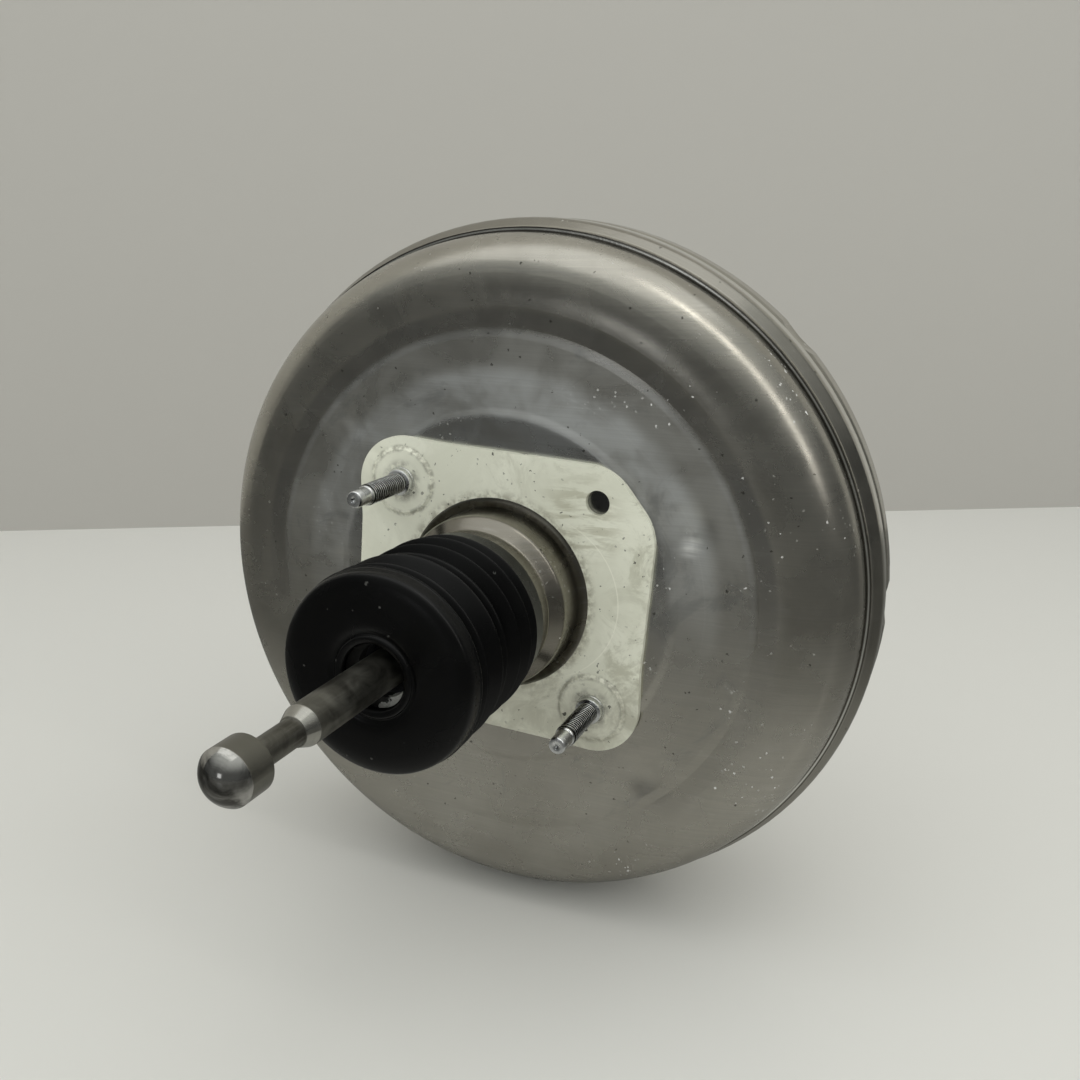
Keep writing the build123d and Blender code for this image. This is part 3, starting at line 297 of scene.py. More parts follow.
# Radii and heights of the marks on the two shells, in metres
DARK_RING = (0.1000, 0.1066)
# Painted highlights along the face's ring relief, drawn on the upper face only
HIGHLIGHT_LINE = (0.0968, 0.0994)
THIN_HIGHLIGHT_LINES = [(0.0805, 0.0809, 0.0003), (0.0674, 0.0690, 0.0009)]
# A rubbed spot at the dent that is also a painted highlight
RUBBED_SPOT_AND_HIGHLIGHT = (0.074, 0.027)
# Painted shade on the shell seen through the plate's spare holes
SPARE_PAINTED_SHADE = (0.0085, 0.0060)
# Front shell: painted shade over the lip's front, in the curl and in the groove; painted highlights along
# the bead and, with the bright sheared edge, along the lip
LIP_EDGE_Y = 0.0275
SHEARED_EDGE_AND_HIGHLIGHT = (0.1340, 0.1346)
CURL_SHADE_Y = (0.0300, 0.0345)
BEAD_HIGHLIGHT_Y = (0.0372, 0.0425)
GROOVE_SHADE_Y = (0.0448, 0.0464)


def shell_material(name, face):
    """Rolled and pressed aluminium, weathered. face adds the pressed face's rings (partly painted
    highlights), its stains and a rubbed spot with a painted highlight; otherwise the rim gets painted
    shade and painted highlights.
    """
    g = Graph(name)
    place = g.place()
    parts = g.split(place)
    if face:
        grain = g.noise(g.scaled(place, (16, 40, 1500)), 1.0, 5.0, 0.65)
        drag = g.noise(g.scaled(place, (60, 60, 420)), 1.0, 4.0, 0.6, 0.4)
    else:
        grain = g.noise(g.around(place, 1100, 1.6), 1.0, 5.0, 0.65)
        drag = g.noise(g.around(place, 420, 3.0), 1.0, 4.0, 0.6, 0.4)
    clouds = g.noise(place, 11.0, 6.0, 0.62, 0.7)
    patches = g.noise(place, 42.0, 5.0, 0.62, 0.5)
    fine = g.noise(place, 420.0, 4.0, 0.65)
    base = g.mix(g.span(clouds, 0.3, 0.7), (0.43, 0.41, 0.36), (0.53, 0.51, 0.455))
    smoothest, roughest = (0.22, 0.29) if face else (0.16, 0.24)
    rough = g.span(patches, 0.3, 0.7, smoothest, roughest)
    haze = g.span(patches, 0.35, 0.7, 0.0, 0.03)
    skin = g.bump(patches, 0.10, 0.0012)
    if face:
        r = g.radius(place)
        upper = g.span(parts["Z"], -0.040, 0.048)
        right = g.span(parts["X"], -0.05, 0.05)
        inner = g.span(r, 0.1003, 0.0973)
        bottom = g.span(parts["Z"], -0.02, -0.10)
        free = g.span(r, 0.066, 0.070)
        # A paler, hazier oxide inside the rings, made paler towards the top by the upper mask: partly
        # painted light.
        pale = product(g, inner, upper, g.span(patches, 0.28, 0.62, 0.55, 1.0),
                       g.span(r, 0.089, 0.082, 0.40, 1.0))
        base = g.mix(g.math("MULTIPLY", pale, 0.8), base, (0.58, 0.595, 0.60))
        haze = g.math("ADD", haze, product(g, pale, free, g.span(right, 0, 1, 0.25, 0.37)))
        haze = g.math("ADD", haze, product(g, bottom, g.span(parts["X"], 0.03, 0.09, 1.0, 0.2), 0.05))
        patchy = g.span(g.noise(place, 18.0, 4.0, 0.6), 0.35, 0.6, 0.45, 1.0)
        ring = product(g, g.band(r, *DARK_RING, 0.0012), upper, patchy)
        base = g.mix(g.math("MULTIPLY", ring, 0.50), base, (0.20, 0.20, 0.205))
        # The pale line and the thin lines are painted highlights along the rings' relief, upper face
        # only.
        line = product(g, g.band(r, *HIGHLIGHT_LINE, 0.0008), upper, patchy)
        base = g.mix(g.math("MULTIPLY", line, 0.4), base, (0.72, 0.72, 0.71))
        thin = g.math("ADD", *[g.band(r, *line) for line in THIN_HIGHLIGHT_LINES])
        base = g.mix(product(g, thin, upper, patchy, 0.22), base, (0.72, 0.72, 0.71))
        stain = product(g, g.span(g.noise(place, 26.0, 6.0, 0.7, 1.4), 0.53, 0.66), inner, 0.35)
        base = g.mix(stain, base, (0.24, 0.245, 0.25))
        scuff = product(g, g.band(r, 0.110, 0.124, 0.004), g.span(parts["Z"], 0.04, 0.09),
                        g.span(drag, 0.55, 0.70), 0.25)
        base = g.mix(scuff, base, (0.22, 0.215, 0.20))
        # White scratches at the dent, painted pale and hazy as a painted highlight too.
        rubbed_and_highlight = g.math("MULTIPLY", g.span(g.radius(place, *RUBBED_SPOT_AND_HIGHLIGHT), 0.0065, 0.0010),
                        g.span(drag, 0.38, 0.60, 0.25, 1.0))
        base = g.mix(g.math("MULTIPLY", rubbed_and_highlight, 0.8), base, (0.84, 0.835, 0.80))
        haze = g.math("MAXIMUM", haze, g.math("MULTIPLY", rubbed_and_highlight, 0.40))
        neck = g.span(r, 0.0375, 0.0365)
        base = g.mix(g.math("MULTIPLY", neck, 0.92), base, (0.225, 0.208, 0.172))
        # Painted shade on the shell behind the plate's spare holes.
        for x, z in SPARE_PLACES:
            base = g.mix(g.span(g.radius(place, x, z), *SPARE_PAINTED_SHADE), base, (0.30, 0.30, 0.29))
    base = g.mix(g.math("MULTIPLY", g.span(grain, 0.36, 0.66), 0.20), base, (0.33, 0.32, 0.30))
    base = g.mix(g.math("MULTIPLY", g.span(drag, 0.56, 0.74), 0.12), base, (0.70, 0.69, 0.66))
    grime = specks(g, place, 620.0, 0.34, 0.025, (0.3, 0.1, 0.7))
    base = g.mix(g.math("MULTIPLY", grime, 0.75), base, (0.07, 0.065, 0.055))
    dust = specks(g, place, 900.0, 0.45, 0.12, (0.0, 0.4, 0.2))
    fleck = specks(g, place, 430.0, 0.32, 0.07, (0.6, 0.4, 0.9))
    where = g.span(g.noise(place, 34.0, 4.0, 0.6), 0.53, 0.64)
    bloom = g.math("MULTIPLY", g.math("MAXIMUM", dust, fleck), where)
    if face:
        bloom = g.math("MULTIPLY", bloom, g.span(parts["X"], 0.02, 0.06, 0.35, 1.0))
    else:
        bloom = g.math("MULTIPLY", bloom, 0.25)
        # Painted shade over the lip's front face; on it, the sheared edge's bright metal with a painted
        # highlight.
        edge = g.span(parts["Y"], LIP_EDGE_Y + 0.0003, LIP_EDGE_Y - 0.0003)
        base = g.mix(edge, base, (0.15, 0.14, 0.12))
        line = g.math("MULTIPLY", edge, g.band(g.radius(place), *SHEARED_EDGE_AND_HIGHLIGHT, 0.0002))
        base = g.mix(line, base, (0.86, 0.85, 0.80))
        # Painted shade: a dark line where a groove behind the bead would throw shade.
        groove_shade = g.band(parts["Y"], *GROOVE_SHADE_Y, 0.0004)
        base = g.mix(g.math("MULTIPLY", groove_shade, 0.75), base, (0.10, 0.095, 0.085))
        # Painted shade in the concave curl between the lip and the bead.
        curl_shade = g.math("MULTIPLY", g.band(parts["Y"], *CURL_SHADE_Y, 0.0006), 0.45)
        base = g.mix(curl_shade, base, (0.20, 0.19, 0.165))
        # Painted highlight along the bead's crest.
        crest = g.math("MULTIPLY", g.band(parts["Y"], *BEAD_HIGHLIGHT_Y, 0.0012), 0.7)
        base = g.mix(crest, base, (0.84, 0.83, 0.78))
    base = g.mix(g.math("MULTIPLY", bloom, 0.85), base, (0.74, 0.74, 0.73))
    haze = g.math("MAXIMUM", haze, g.math("MULTIPLY", bloom, 0.9))
    metal = g.math("SUBTRACT", 1.0, haze)
    rough = g.math("ADD", rough, g.math("MULTIPLY", haze, 0.4))
    height = g.math("ADD", g.math("MULTIPLY", grain, 0.6), g.math("MULTIPLY", fine, 0.4))
    g.set(Base_Color=base, Metallic=metal, Roughness=rough,
          Normal=g.bump(height, 0.10, 0.0003, skin))
    return g.material


def plate_material():
    """Pale coating with dark specks, damp smears, grime round the bore, a scribed arc, painted shade
    round the stud pads and a painted shadow of the boot low down.
    """
    g = Graph("plate_coated")
    place = g.place()
    parts = g.split(place)
    clouds = g.noise(place, 22.0, 5.0, 0.6, 0.8)
    fine = g.noise(place, 320.0, 5.0, 0.65)
    blots = g.noise(place, 62.0, 6.0, 0.72, 1.2)
    r = g.radius(place)
    colour = g.mix(g.span(clouds, 0.3, 0.7), (0.70, 0.70, 0.585), (0.83, 0.83, 0.71))
    wet = product(g, g.span(blots, 0.46, 0.64), g.span(parts["X"], -0.02, 0.02, 0.25, 1.0),
                  g.span(clouds, 0.38, 0.58))
    colour = g.mix(g.math("MULTIPLY", wet, 0.60), colour, (0.38, 0.37, 0.275))
    smear = product(g, g.span(g.radius(place, 0.034, 0.033), 0.022, 0.006),
                    g.span(g.noise(g.scaled(place, (60, 60, 300)), 1.0, 5.0, 0.65, 0.6), 0.42, 0.62))
    colour = g.mix(g.math("MULTIPLY", smear, 0.55), colour, (0.34, 0.32, 0.22))
    rim = g.math("MULTIPLY", g.span(r, 0.0420, 0.0374), g.span(fine, 0.38, 0.62))
    colour = g.mix(g.math("MULTIPLY", rim, 0.75), colour, (0.28, 0.265, 0.20))
    # Painted shadow of the boot: darker towards the bottom, broken up by the blot noise.
    low = product(g, g.span(parts["Z"], -0.022, -0.046), g.span(blots, 0.32, 0.60, 0.5, 1.0), 0.85)
    colour = g.mix(low, colour, (0.44, 0.43, 0.35))
    arc_r = g.radius(place, 0.017, 0.001)
    arc = product(g, g.band(arc_r, 0.0320, 0.0324, 0.0002), g.span(parts["X"], 0.02, 0.045), 0.6)
    colour = g.mix(arc, colour, (0.93, 0.92, 0.80))
    for spot_x, spot_z in BOLT_PLACES:
        near = g.radius(place, spot_x, spot_z)
        # Painted shade round the edge of the raised stud pad.
        ring = g.math("MULTIPLY", g.band(near, 0.0116, 0.0140, 0.0007), g.span(fine, 0.38, 0.62))
        colour = g.mix(g.math("MULTIPLY", ring, 0.75), colour, (0.27, 0.26, 0.21))
        foot = g.math("MULTIPLY", g.span(near, 0.0095, 0.0060), g.span(fine, 0.35, 0.6))
        colour = g.mix(g.math("MULTIPLY", foot, 0.7), colour, (0.25, 0.24, 0.20))
    dots = specks(g, place, 560.0, 0.42, 0.10, (0.0, 0.2, 0.9))
    few = specks(g, place, 250.0, 0.36, 0.07, (0.5, 0.2, 0.1))
    dark = g.math("MULTIPLY", g.math("MAXIMUM", dots, few),
                  g.span(g.noise(place, 40.0, 3.0, 0.6), 0.40, 0.55, 0.25, 1.0))
    colour = g.mix(g.math("MULTIPLY", dark, 0.92), colour, (0.035, 0.032, 0.025))
    g.set(Base_Color=colour, Metallic=0.0, Roughness=g.span(fine, 0.3, 0.7, 0.34, 0.50),
          Normal=g.bump(fine, 0.10, 0.0002, g.bump(blots, 0.15, 0.0012)))
    return g.material


def rubber_material(name, base, rough_low, rough_high, dust, gloss):
    """Black rubber with a little dust and a fine moulded skin."""
    g = Graph(name)
    place = g.place()
    clouds = g.noise(place, 30.0, 5.0, 0.6, 0.5)
    fine = g.noise(place, 900.0, 3.0, 0.6)
    specked = specks(g, place, 420.0, 0.30, 0.03, (0.2, 0.7, 0.3))
    colour = g.mix(g.math("MULTIPLY", g.span(clouds, 0.45, 0.75), dust), base, (0.045, 0.045, 0.043))
    colour = g.mix(g.math("MULTIPLY", specked, 0.35), colour, (0.16, 0.16, 0.15))
    g.set(Base_Color=colour, Roughness=g.span(clouds, 0.3, 0.7, rough_low, rough_high),
          Specular_IOR_Level=gloss,
          Normal=g.bump(g.math("ADD", g.math("MULTIPLY", fine, 0.4), clouds), 0.10, 0.0004))
    return g.material


def metal_material(name, dark, light, rough_low, rough_high, grain=(60, 60, 60), bump=0.06):
    """Bare or plated metal with a directional grain."""
    g = Graph(name)
    place = g.place()
    lines = g.noise(g.scaled(place, grain), 1.0, 5.0, 0.6)
    clouds = g.noise(place, 45.0, 5.0, 0.6, 0.4)
    colour = g.mix(g.math("ADD", g.math("MULTIPLY", lines, 0.5), g.math("MULTIPLY", clouds, 0.5)),
                   dark, light)
    g.set(Base_Color=colour, Metallic=1.0, Roughness=g.span(clouds, 0.3, 0.7, rough_low, rough_high),
          Normal=g.bump(lines, bump, 0.0003))
    return g.material


def bolt_material():
    """Bright zinc with painted shade in the thread's roots."""
    g = Graph("bolt_zinc")
    place = g.place()
    clouds = g.noise(place, 160.0, 5.0, 0.6, 0.3)
    fine = g.noise(place, 1200.0, 3.0, 0.6)
    near = g.math("MINIMUM", *[g.radius(place, x, z) for x, z in BOLT_PLACES])
    # Painted shade in the thread's roots.
    thread_root_shade = g.math("MULTIPLY", g.span(near, 0.00396, 0.00382),
                  g.span(g.split(place)["Y"], -0.0268, -0.0262))
    colour = g.mix(g.span(clouds, 0.3, 0.7), (0.62, 0.63, 0.63), (0.86, 0.87, 0.87))
    colour = g.mix(thread_root_shade, colour, (0.03, 0.03, 0.027))
    g.set(Base_Color=colour, Metallic=1.0, Roughness=g.span(clouds, 0.3, 0.7, 0.18, 0.32),
          Normal=g.bump(fine, 0.06, 0.0002))
    return g.material


# Where the push rod's finish changes, as y in metres
TAPER_Y = (-0.1316, -0.1272)
HEAD_Y = (-0.1504, -0.1508)
DOME_Y = (-0.1600, -0.1604)


def rod_material():
    """Phosphated shank, bright turned taper, satin head with a darker polished dome."""
    g = Graph("rod_steel")
    place = g.place()
    y = g.split(place)["Y"]
    along = g.noise(g.scaled(place, (420, 30, 420)), 1.0, 5.0, 0.6)
    turned = g.noise(g.scaled(place, (20, 3200, 20)), 1.0, 3.0, 0.6)
    clouds = g.noise(place, 90.0, 6.0, 0.65, 0.6)
    shank = g.mix(g.span(clouds, 0.3, 0.7), (0.105, 0.10, 0.085), (0.24, 0.235, 0.205))
    shank = g.mix(g.math("MULTIPLY", g.span(along, 0.4, 0.7), 0.35), shank, (0.34, 0.335, 0.30))
    bright = g.mix(turned, (0.34, 0.335, 0.30), (0.52, 0.51, 0.47))
    satin = g.mix(g.math("ADD", g.math("MULTIPLY", turned, 0.5), g.math("MULTIPLY", clouds, 0.5)),
                  (0.14, 0.136, 0.115), (0.28, 0.272, 0.24))
    dome = g.mix(g.span(clouds, 0.36, 0.62), (0.10, 0.097, 0.088), (0.56, 0.55, 0.52))
    is_taper = g.band(y, *TAPER_Y, 0.0002)
    is_head = g.span(y, *HEAD_Y)
    is_dome = g.span(y, *DOME_Y)
    colour = g.mix(is_taper, shank, bright)
    colour = g.mix(is_head, colour, satin)
    colour = g.mix(is_dome, colour, dome)
    rough = g.span(clouds, 0.3, 0.7, 0.34, 0.50)
    for mask, value in ((is_taper, 0.20), (is_head, 0.27), (is_dome, 0.12)):
        keep = g.math("SUBTRACT", 1.0, mask)
        rough = g.math("ADD", g.math("MULTIPLY", rough, keep), g.math("MULTIPLY", mask, value))
    g.set(Base_Color=colour, Metallic=1.0, Roughness=rough,
          Normal=g.bump(g.math("ADD", turned, along), 0.05, 0.0003))
    return g.material


def plastic_material(name, dark, light, rough):
    """Moulded plastic with a faint skin."""
    g = Graph(name)
    place = g.place()
    clouds = g.noise(place, 60.0, 5.0, 0.6, 0.3)
    fine = g.noise(place, 1100.0, 3.0, 0.6)
    g.set(Base_Color=g.mix(clouds, dark, light), Roughness=g.span(clouds, 0.3, 0.7, rough, rough + 0.12),
          Normal=g.bump(fine, 0.08, 0.0002))
    return g.material


def fibre_material(name, dark, light, scale):
    """Felt or open foam: a deep fine noise in colour and height."""
    g = Graph(name)
    place = g.place()
    tangle = g.noise(place, scale, 8.0, 0.75, 2.0)
    g.set(Base_Color=g.mix(g.span(tangle, 0.3, 0.7), dark, light), Roughness=0.95,
          Normal=g.bump(tangle, 0.6, 0.0012))
    return g.material


def felt_material():
    """White felt, nearly black except on one side, where X minus Z is large."""
    g = Graph("felt_white")
    place = g.place()
    parts = g.split(place)
    tangle = g.noise(place, 1400.0, 8.0, 0.75, 2.0)
    pale_side = g.math("ADD", g.math("SUBTRACT", parts["X"], parts["Z"]),
                   g.math("MULTIPLY", g.noise(place, 260.0, 4.0, 0.6), 0.012))
    white = g.mix(g.span(tangle, 0.3, 0.7), (0.55, 0.54, 0.50), (0.86, 0.85, 0.81))
    dark_felt = g.mix(g.span(tangle, 0.3, 0.7), (0.012, 0.012, 0.011), (0.045, 0.044, 0.040))
    g.set(Base_Color=g.mix(g.span(pale_side, 0.0165, 0.0175), dark_felt, white), Roughness=0.95,
          Normal=g.bump(tangle, 0.6, 0.0012))
    return g.material


SHELL = shell_material("shell_aluminium", True)
FRONT = shell_material("shell_aluminium_front", False)
PLATE = plate_material()
BOLT = bolt_material()
ROD = rod_material()
RUBBER = rubber_material("rubber_black", (0.012, 0.012, 0.012), 0.50, 0.66, 0.30, 0.4)
BOOT = rubber_material("rubber_boot", (0.0012, 0.0012, 0.0013), 0.20, 0.30, 0.03, 0.27)
STEEL = metal_material("steel_bare", (0.38, 0.38, 0.37), (0.62, 0.62, 0.60), 0.28, 0.42)
WALL = metal_material("wall_aluminium", (0.50, 0.50, 0.48), (0.72, 0.72, 0.70), 0.32, 0.46, (20, 20, 500))
SPRING = metal_material("spring_steel", (0.20, 0.20, 0.21), (0.42, 0.42, 0.43), 0.28, 0.40)
PLASTIC = plastic_material("plastic_black", (0.020, 0.020, 0.022), (0.045, 0.045, 0.050), 0.38)
BODY = plastic_material("plastic_body", (0.060, 0.052, 0.045), (0.115, 0.100, 0.085), 0.42)
FOAM = fibre_material("filter_foam", (0.030, 0.030, 0.034), (0.14, 0.14, 0.15), 900.0)
FELT = felt_material()

BY_SLOT = {
    "shell_aluminium": FRONT, "wall_aluminium": WALL, "plate_coated": PLATE, "bolt_zinc": BOLT,
    "steel_bare": STEEL, "rod_steel": ROD, "spring_steel": SPRING, "rubber_black": RUBBER,
    "rubber_boot": BOOT, "plastic_black": PLASTIC, "plastic_body": BODY, "filter_foam": FOAM,
    "felt_white": FELT,
}
SLOT_OF = {part["node"]: part["material_slot"] for part in frame["record"]["subparts"]}
for node_name, node_object in nodes.items():
    dress(node_object, BY_SLOT[SLOT_OF[node_name]])
    for polygon in node_object.data.polygons:
        polygon.use_smooth = True
dress(nodes["rear_shell"], SHELL)


# ---- Rear shell ---------------------------------------------------------------------------
SHEET = 2.0
# Dents in the pressed face, as (x, z, radius, depth) in mm; the last but one lies inside another
DENTS = [(-62, 61, 8.0, 1.0), (-69, 3, 8.0, 1.1), (74, 33, 12.0, 1.9),
         (74, 29.5, 5.5, 1.5), (62, -66, 12.5, 1.5)]
FACE_DEPTH = 12.0           # dents press only what lies in front of this y


def rounded(points, radii, steps=7):
    """A polyline whose inner corners are arcs of the given radii."""
    line = [Vector(points[0])]
    for index, radius in enumerate(radii, 1):
        corner = Vector(points[index])
        before = (Vector(points[index - 1]) - corner).normalized()
        after = (Vector(points[index + 1]) - corner).normalized()
        half = before.angle(after) / 2
        centre = corner + (before + after).normalized() * radius / math.sin(half)
        first = corner + before * radius / math.tan(half) - centre
        last = corner + after * radius / math.tan(half) - centre
        sweep = first.angle(last)
        for step in range(steps + 1):
            share = step / steps
            line.append(centre + (first * math.sin((1 - share) * sweep)
                                  + last * math.sin(share * sweep)) / math.sin(sweep))
    line.append(Vector(points[-1]))
    return line


def finer(line, longest):
    """Adds points so that no step is longer than the given length."""
    made = [line[0]]
    for start, end in zip(line, line[1:]):
        count = max(1, math.ceil((end - start).length / longest))
        made += [start.lerp(end, (step + 1) / count) for step in range(count)]
    return made


def beside(line, distance):
    """The line moved sideways by a distance, to the left of its direction."""
    made = []
    for index, point in enumerate(line):
        way = line[min(index + 1, len(line) - 1)] - line[max(index - 1, 0)]
        made.append(point + Vector((-way.y, way.x)).normalized() * distance)
    return made


def rear_shell_shape(radius, y, angle):
    """Presses the dents into the face."""
    x, z = radius * math.cos(angle) / MM, radius * math.sin(angle) / MM
    for dent_x, dent_z, reach, depth in DENTS:
        away = math.hypot(x - dent_x, z - dent_z) / reach
        if away < 1 and y < FACE_DEPTH * MM:
            y += 0.5 * depth * MM * (1 + math.cos(math.pi * away))
    return radius, y


def flange_end():
    """Outer edge of the solid's flange, as (radius, y) in mm."""
    radius, y = max((math.hypot(v.co.x, v.co.z), v.co.y) for v in nodes["rear_shell"].data.vertices)
    return radius / MM, y / MM


def rear_shell_piece():
    """The pedal-side drum half, finer than its solid: round shoulder and softly dented face."""
    points = [(29.0, -34.0), (29.0, -17.2), (33.4, -12.6), (33.9, 2.5), (68.0, 2.5), (70.7, 3.4),
              (96.5, 3.9), (100.0, 4.4), (107.5, 3.9), (113.5, 3.9), (133.3, 10.33),
              (133.3, 30.0), flange_end()]
    radii = [1.5, 3.0, 3.5, 4.0, 4.0, 6.0, 2.0, 1.0, 36.0, 20.0, 3.0]
    outer = finer(rounded(points, radii), 2.0)
    profile = outer + list(reversed(beside(outer, SHEET)))
    made = lathe("rear_shell_piece", [(p.x * MM, p.y * MM) for p in profile], 360, rear_shell_shape)
    dress(made, SHELL)
    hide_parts("rear_shell")
    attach(made, "housing")


rear_shell_piece()


# ---- Boot ---------------------------------------------------------------------------------
def boot_profile():
    """Closed (radius, y) outline of the bellows, from the opening over the crests to the mouth."""
    crests = [(-83.5, 34.3), (-78.5, 34.0), (-67.5, 33.7), (-61.0, 32.4), (-52.0, 33.0),
              (-43.0, 33.0), (-35.0, 32.0)]
    valleys = [(-81.0, 31.4), (-73.0, 28.0), (-64.0, 28.6), (-56.5, 26.3), (-47.3, 27.0),
               (-39.0, 27.3)]
    face = [(10.8, -87.9), (10.9, -89.2), (11.6, -90.1), (12.9, -90.45), (13.6, -90.1),
            (14.1, -89.5), (14.9, -89.6), (16.4, -90.2), (19.0, -90.45), (25.0, -90.4),
            (29.0, -90.1), (31.8, -89.3), (33.5, -87.9)]
    folds = []
    for index, (y, radius) in enumerate(crests):
        folds += [(radius - 0.35, y - 0.6), (radius, y), (radius - 0.35, y + 0.6)]
        if index < len(valleys):
            valley_y, valley_r = valleys[index]
            folds += [(valley_r + 0.2, valley_y - 0.6), (valley_r, valley_y),
                      (valley_r + 0.2, valley_y + 0.6)]
    cuff = [(30.6, -32.6), (30.4, -29.0), (30.4, -25.7), (30.1, -25.05)]
    outer = smooth_line(face + folds + cuff, 5)
    wall = 1.6
    inner = [(29.2, -25.05), (29.2, -31.8), (30.2, -34.4)]
    for (y, radius), (valley_y, valley_r) in zip(reversed(crests[1:-1]), reversed(valleys[1:])):
        inner += [(valley_r - wall, valley_y), (radius - wall, y)]
    inner += [(valleys[0][1] - wall, valleys[0][0]), (31.6, -85.6), (23.0, -87.8), (10.8, -87.8)]
    return [(radius * MM, y * MM) for radius, y in outer + inner]


def boot_shape(radius, y, angle):
    """A slight set of the rubber: the folds lean and the rear end isn't quite round."""
    free = max(0.0, min(1.0, (-0.033 - y) / 0.02))
    lean = 0.35 * MM * math.sin(angle + 0.8) * free
    swell = 0.22 * MM * math.sin(2 * angle + 1.1) * free
    return radius + swell * (radius > 0.02), y + lean * (y > -0.087)


boot = lathe("boot_bellows", boot_profile(), 256, boot_shape)
dress(boot, BOOT)
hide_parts("boot")
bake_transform(boot)


# ---- Through bolts ------------------------------------------------------------------------
THREAD_PITCH = 1.25 * MM
THREAD_R = 4.0 * MM
THREAD_DEPTH = 0.72 * MM


def bolt_mesh(x, z, sections, segments=48, phase=0.0):
    """Rings of (y, radius, threaded) joined into one bolt about the line through (x, z)."""
    vertices, faces = [], []
    for y, radius, depth in sections:
        for step in range(segments):
            angle = 2 * math.pi * step / segments
            turn = (y / THREAD_PITCH + step / segments + phase) % 1.0
            flank = abs(2 * turn - 1)
            cut = depth * min(1.0, max(0.0, (flank - 0.12) / 0.76))
            here = radius - cut
            vertices.append((x + here * math.cos(angle), y, z + here * math.sin(angle)))
    for ring in range(len(sections) - 1):
        for step in range(segments):
            a, b = ring * segments + step, ring * segments + (step + 1) % segments
            faces.append((a, b, b + segments, a + segments))
    faces.append(tuple(range(segments)))
    last = (len(sections) - 1) * segments
    faces.append(tuple(range(last, last + segments)))
    return vertices, faces


def thread_rings(start, end, radius):
    """Rings close enough to draw a thread, with its depth fading in at both ends."""
    count = round((end - start) / (THREAD_PITCH / 8))
    rings = []
    for index in range(count + 1):
        y = start + (end - start) * index / count
        fade = min(1.0, (y - start) / (0.8 * THREAD_PITCH), (end - y) / (0.8 * THREAD_PITCH))
        rings.append((y, radius, THREAD_DEPTH * fade))
    return rings


def tie_bolts():
    low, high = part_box("tie_bolts")
    tip = low.y / MM
    mm = [(tip + 0.9, 0.05), (tip + 0.55, 0.5), (tip, 0.9), (tip, 2.65), (tip + 0.2, 2.95),
          (tip + 0.65, 3.22), (tip + 7.2, 3.25), (tip + 7.55, 3.35), (tip + 7.7, 3.68),
          (tip + 8.6, 3.7), (tip + 8.8, 3.35), (tip + 9.1, 3.3)]
    rear = [(y * MM, radius * MM, 0.0) for y, radius in mm]
    rear += thread_rings(low.y + 9.3 * MM, -5.0 * MM, THREAD_R)
    plain = [(-4.9, 3.55), (-4.3, 3.55), (-4.1, 4.0), (-3.95, 4.9), (-3.6, 5.1), (-3.2, 5.12),
             (-2.0, 5.45), (-1.75, 5.3), (-1.55, 5.45), (-1.0, 5.78), (-0.82, 5.7), (-0.7, 4.5),
             (4.4, 4.5), (4.6, 6.0), (97.1, 6.0), (97.3, 4.5), (98.9, 4.5), (99.05, 5.7),
             (100.9, 5.7), (101.4, 5.1), (101.5, 3.9)]
    rear += [(y * MM, radius * MM, 0.0) for y, radius in plain]
    rear += thread_rings(101.9 * MM, high.y - 1.3 * MM, THREAD_R)
    rear += [(high.y - 1.0 * MM, 3.3 * MM, 0.0), (high.y - 0.2 * MM, 2.7 * MM, 0.0),
             (high.y, 2.2 * MM, 0.0)]
    vertices, faces = [], []
    for index, (x, z) in enumerate(BOLT_PLACES):
        some, more = bolt_mesh(x, z, rear, phase=0.37 * index)
        base = len(vertices)
        vertices += some
        faces += [tuple(base + corner for corner in face) for face in more]
    made = piece_from("tie_bolt_pair", vertices, faces)
    dress(made, BOLT)
    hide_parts("tie_bolts")
    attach(made, "housing")


tie_bolts()


# ---- Springs and rubber, copied from their CAD pieces -------------------------------------
def stretched(node, material):
    """A free copy of a CAD piece in the given material, baked in place."""
    made = copy_of(node)
    dress(made, material)
    for polygon in made.data.polygons:
        polygon.use_smooth = True
    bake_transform(made)
    return made


for node, slot, first, second, ends, material in (
        ("return_spring", "spring_steel", "housing", "power_piston", (1, 0), SPRING),
        ("diaphragm", "rubber_black", "housing", "power_piston", None, RUBBER),
        ("rod_return_spring", "spring_steel", "power_piston", "plunger", (1, 0), SPRING),
        ("check_valve_spring", "spring_steel", "housing", "vacuum_flap", (1, 0), SPRING)):
    stretched(node, material)


# ---- Stage, light and camera --------------------------------------------------------------
def stage_material(name, pale, near, far, roughness):
    """A plain pale surface. Gloss sees it scaled, by near close to the part and far away from it."""
    g = Graph(name)
    place = g.place()
    fade = g.span(g.radius_z(place, 0.02, 0.0), 0.06, 0.42, near, far)
    seen = g.node("ShaderNodeVectorMath", operation="SCALE")
    seen.inputs[0].default_value = pale
    g.link(fade, seen.inputs["Scale"])
    glossy = g.node("ShaderNodeLightPath").outputs["Is Glossy Ray"]
    g.set(Base_Color=g.mix(glossy, pale, seen.outputs[0]), Roughness=roughness,
          Specular_IOR_Level=0.35)
    return g.material


def quad(name, corners, material):
    made = piece_from(name, corners, [(0, 1, 2, 3)], smooth=False)
    dress(made, material)
    return made


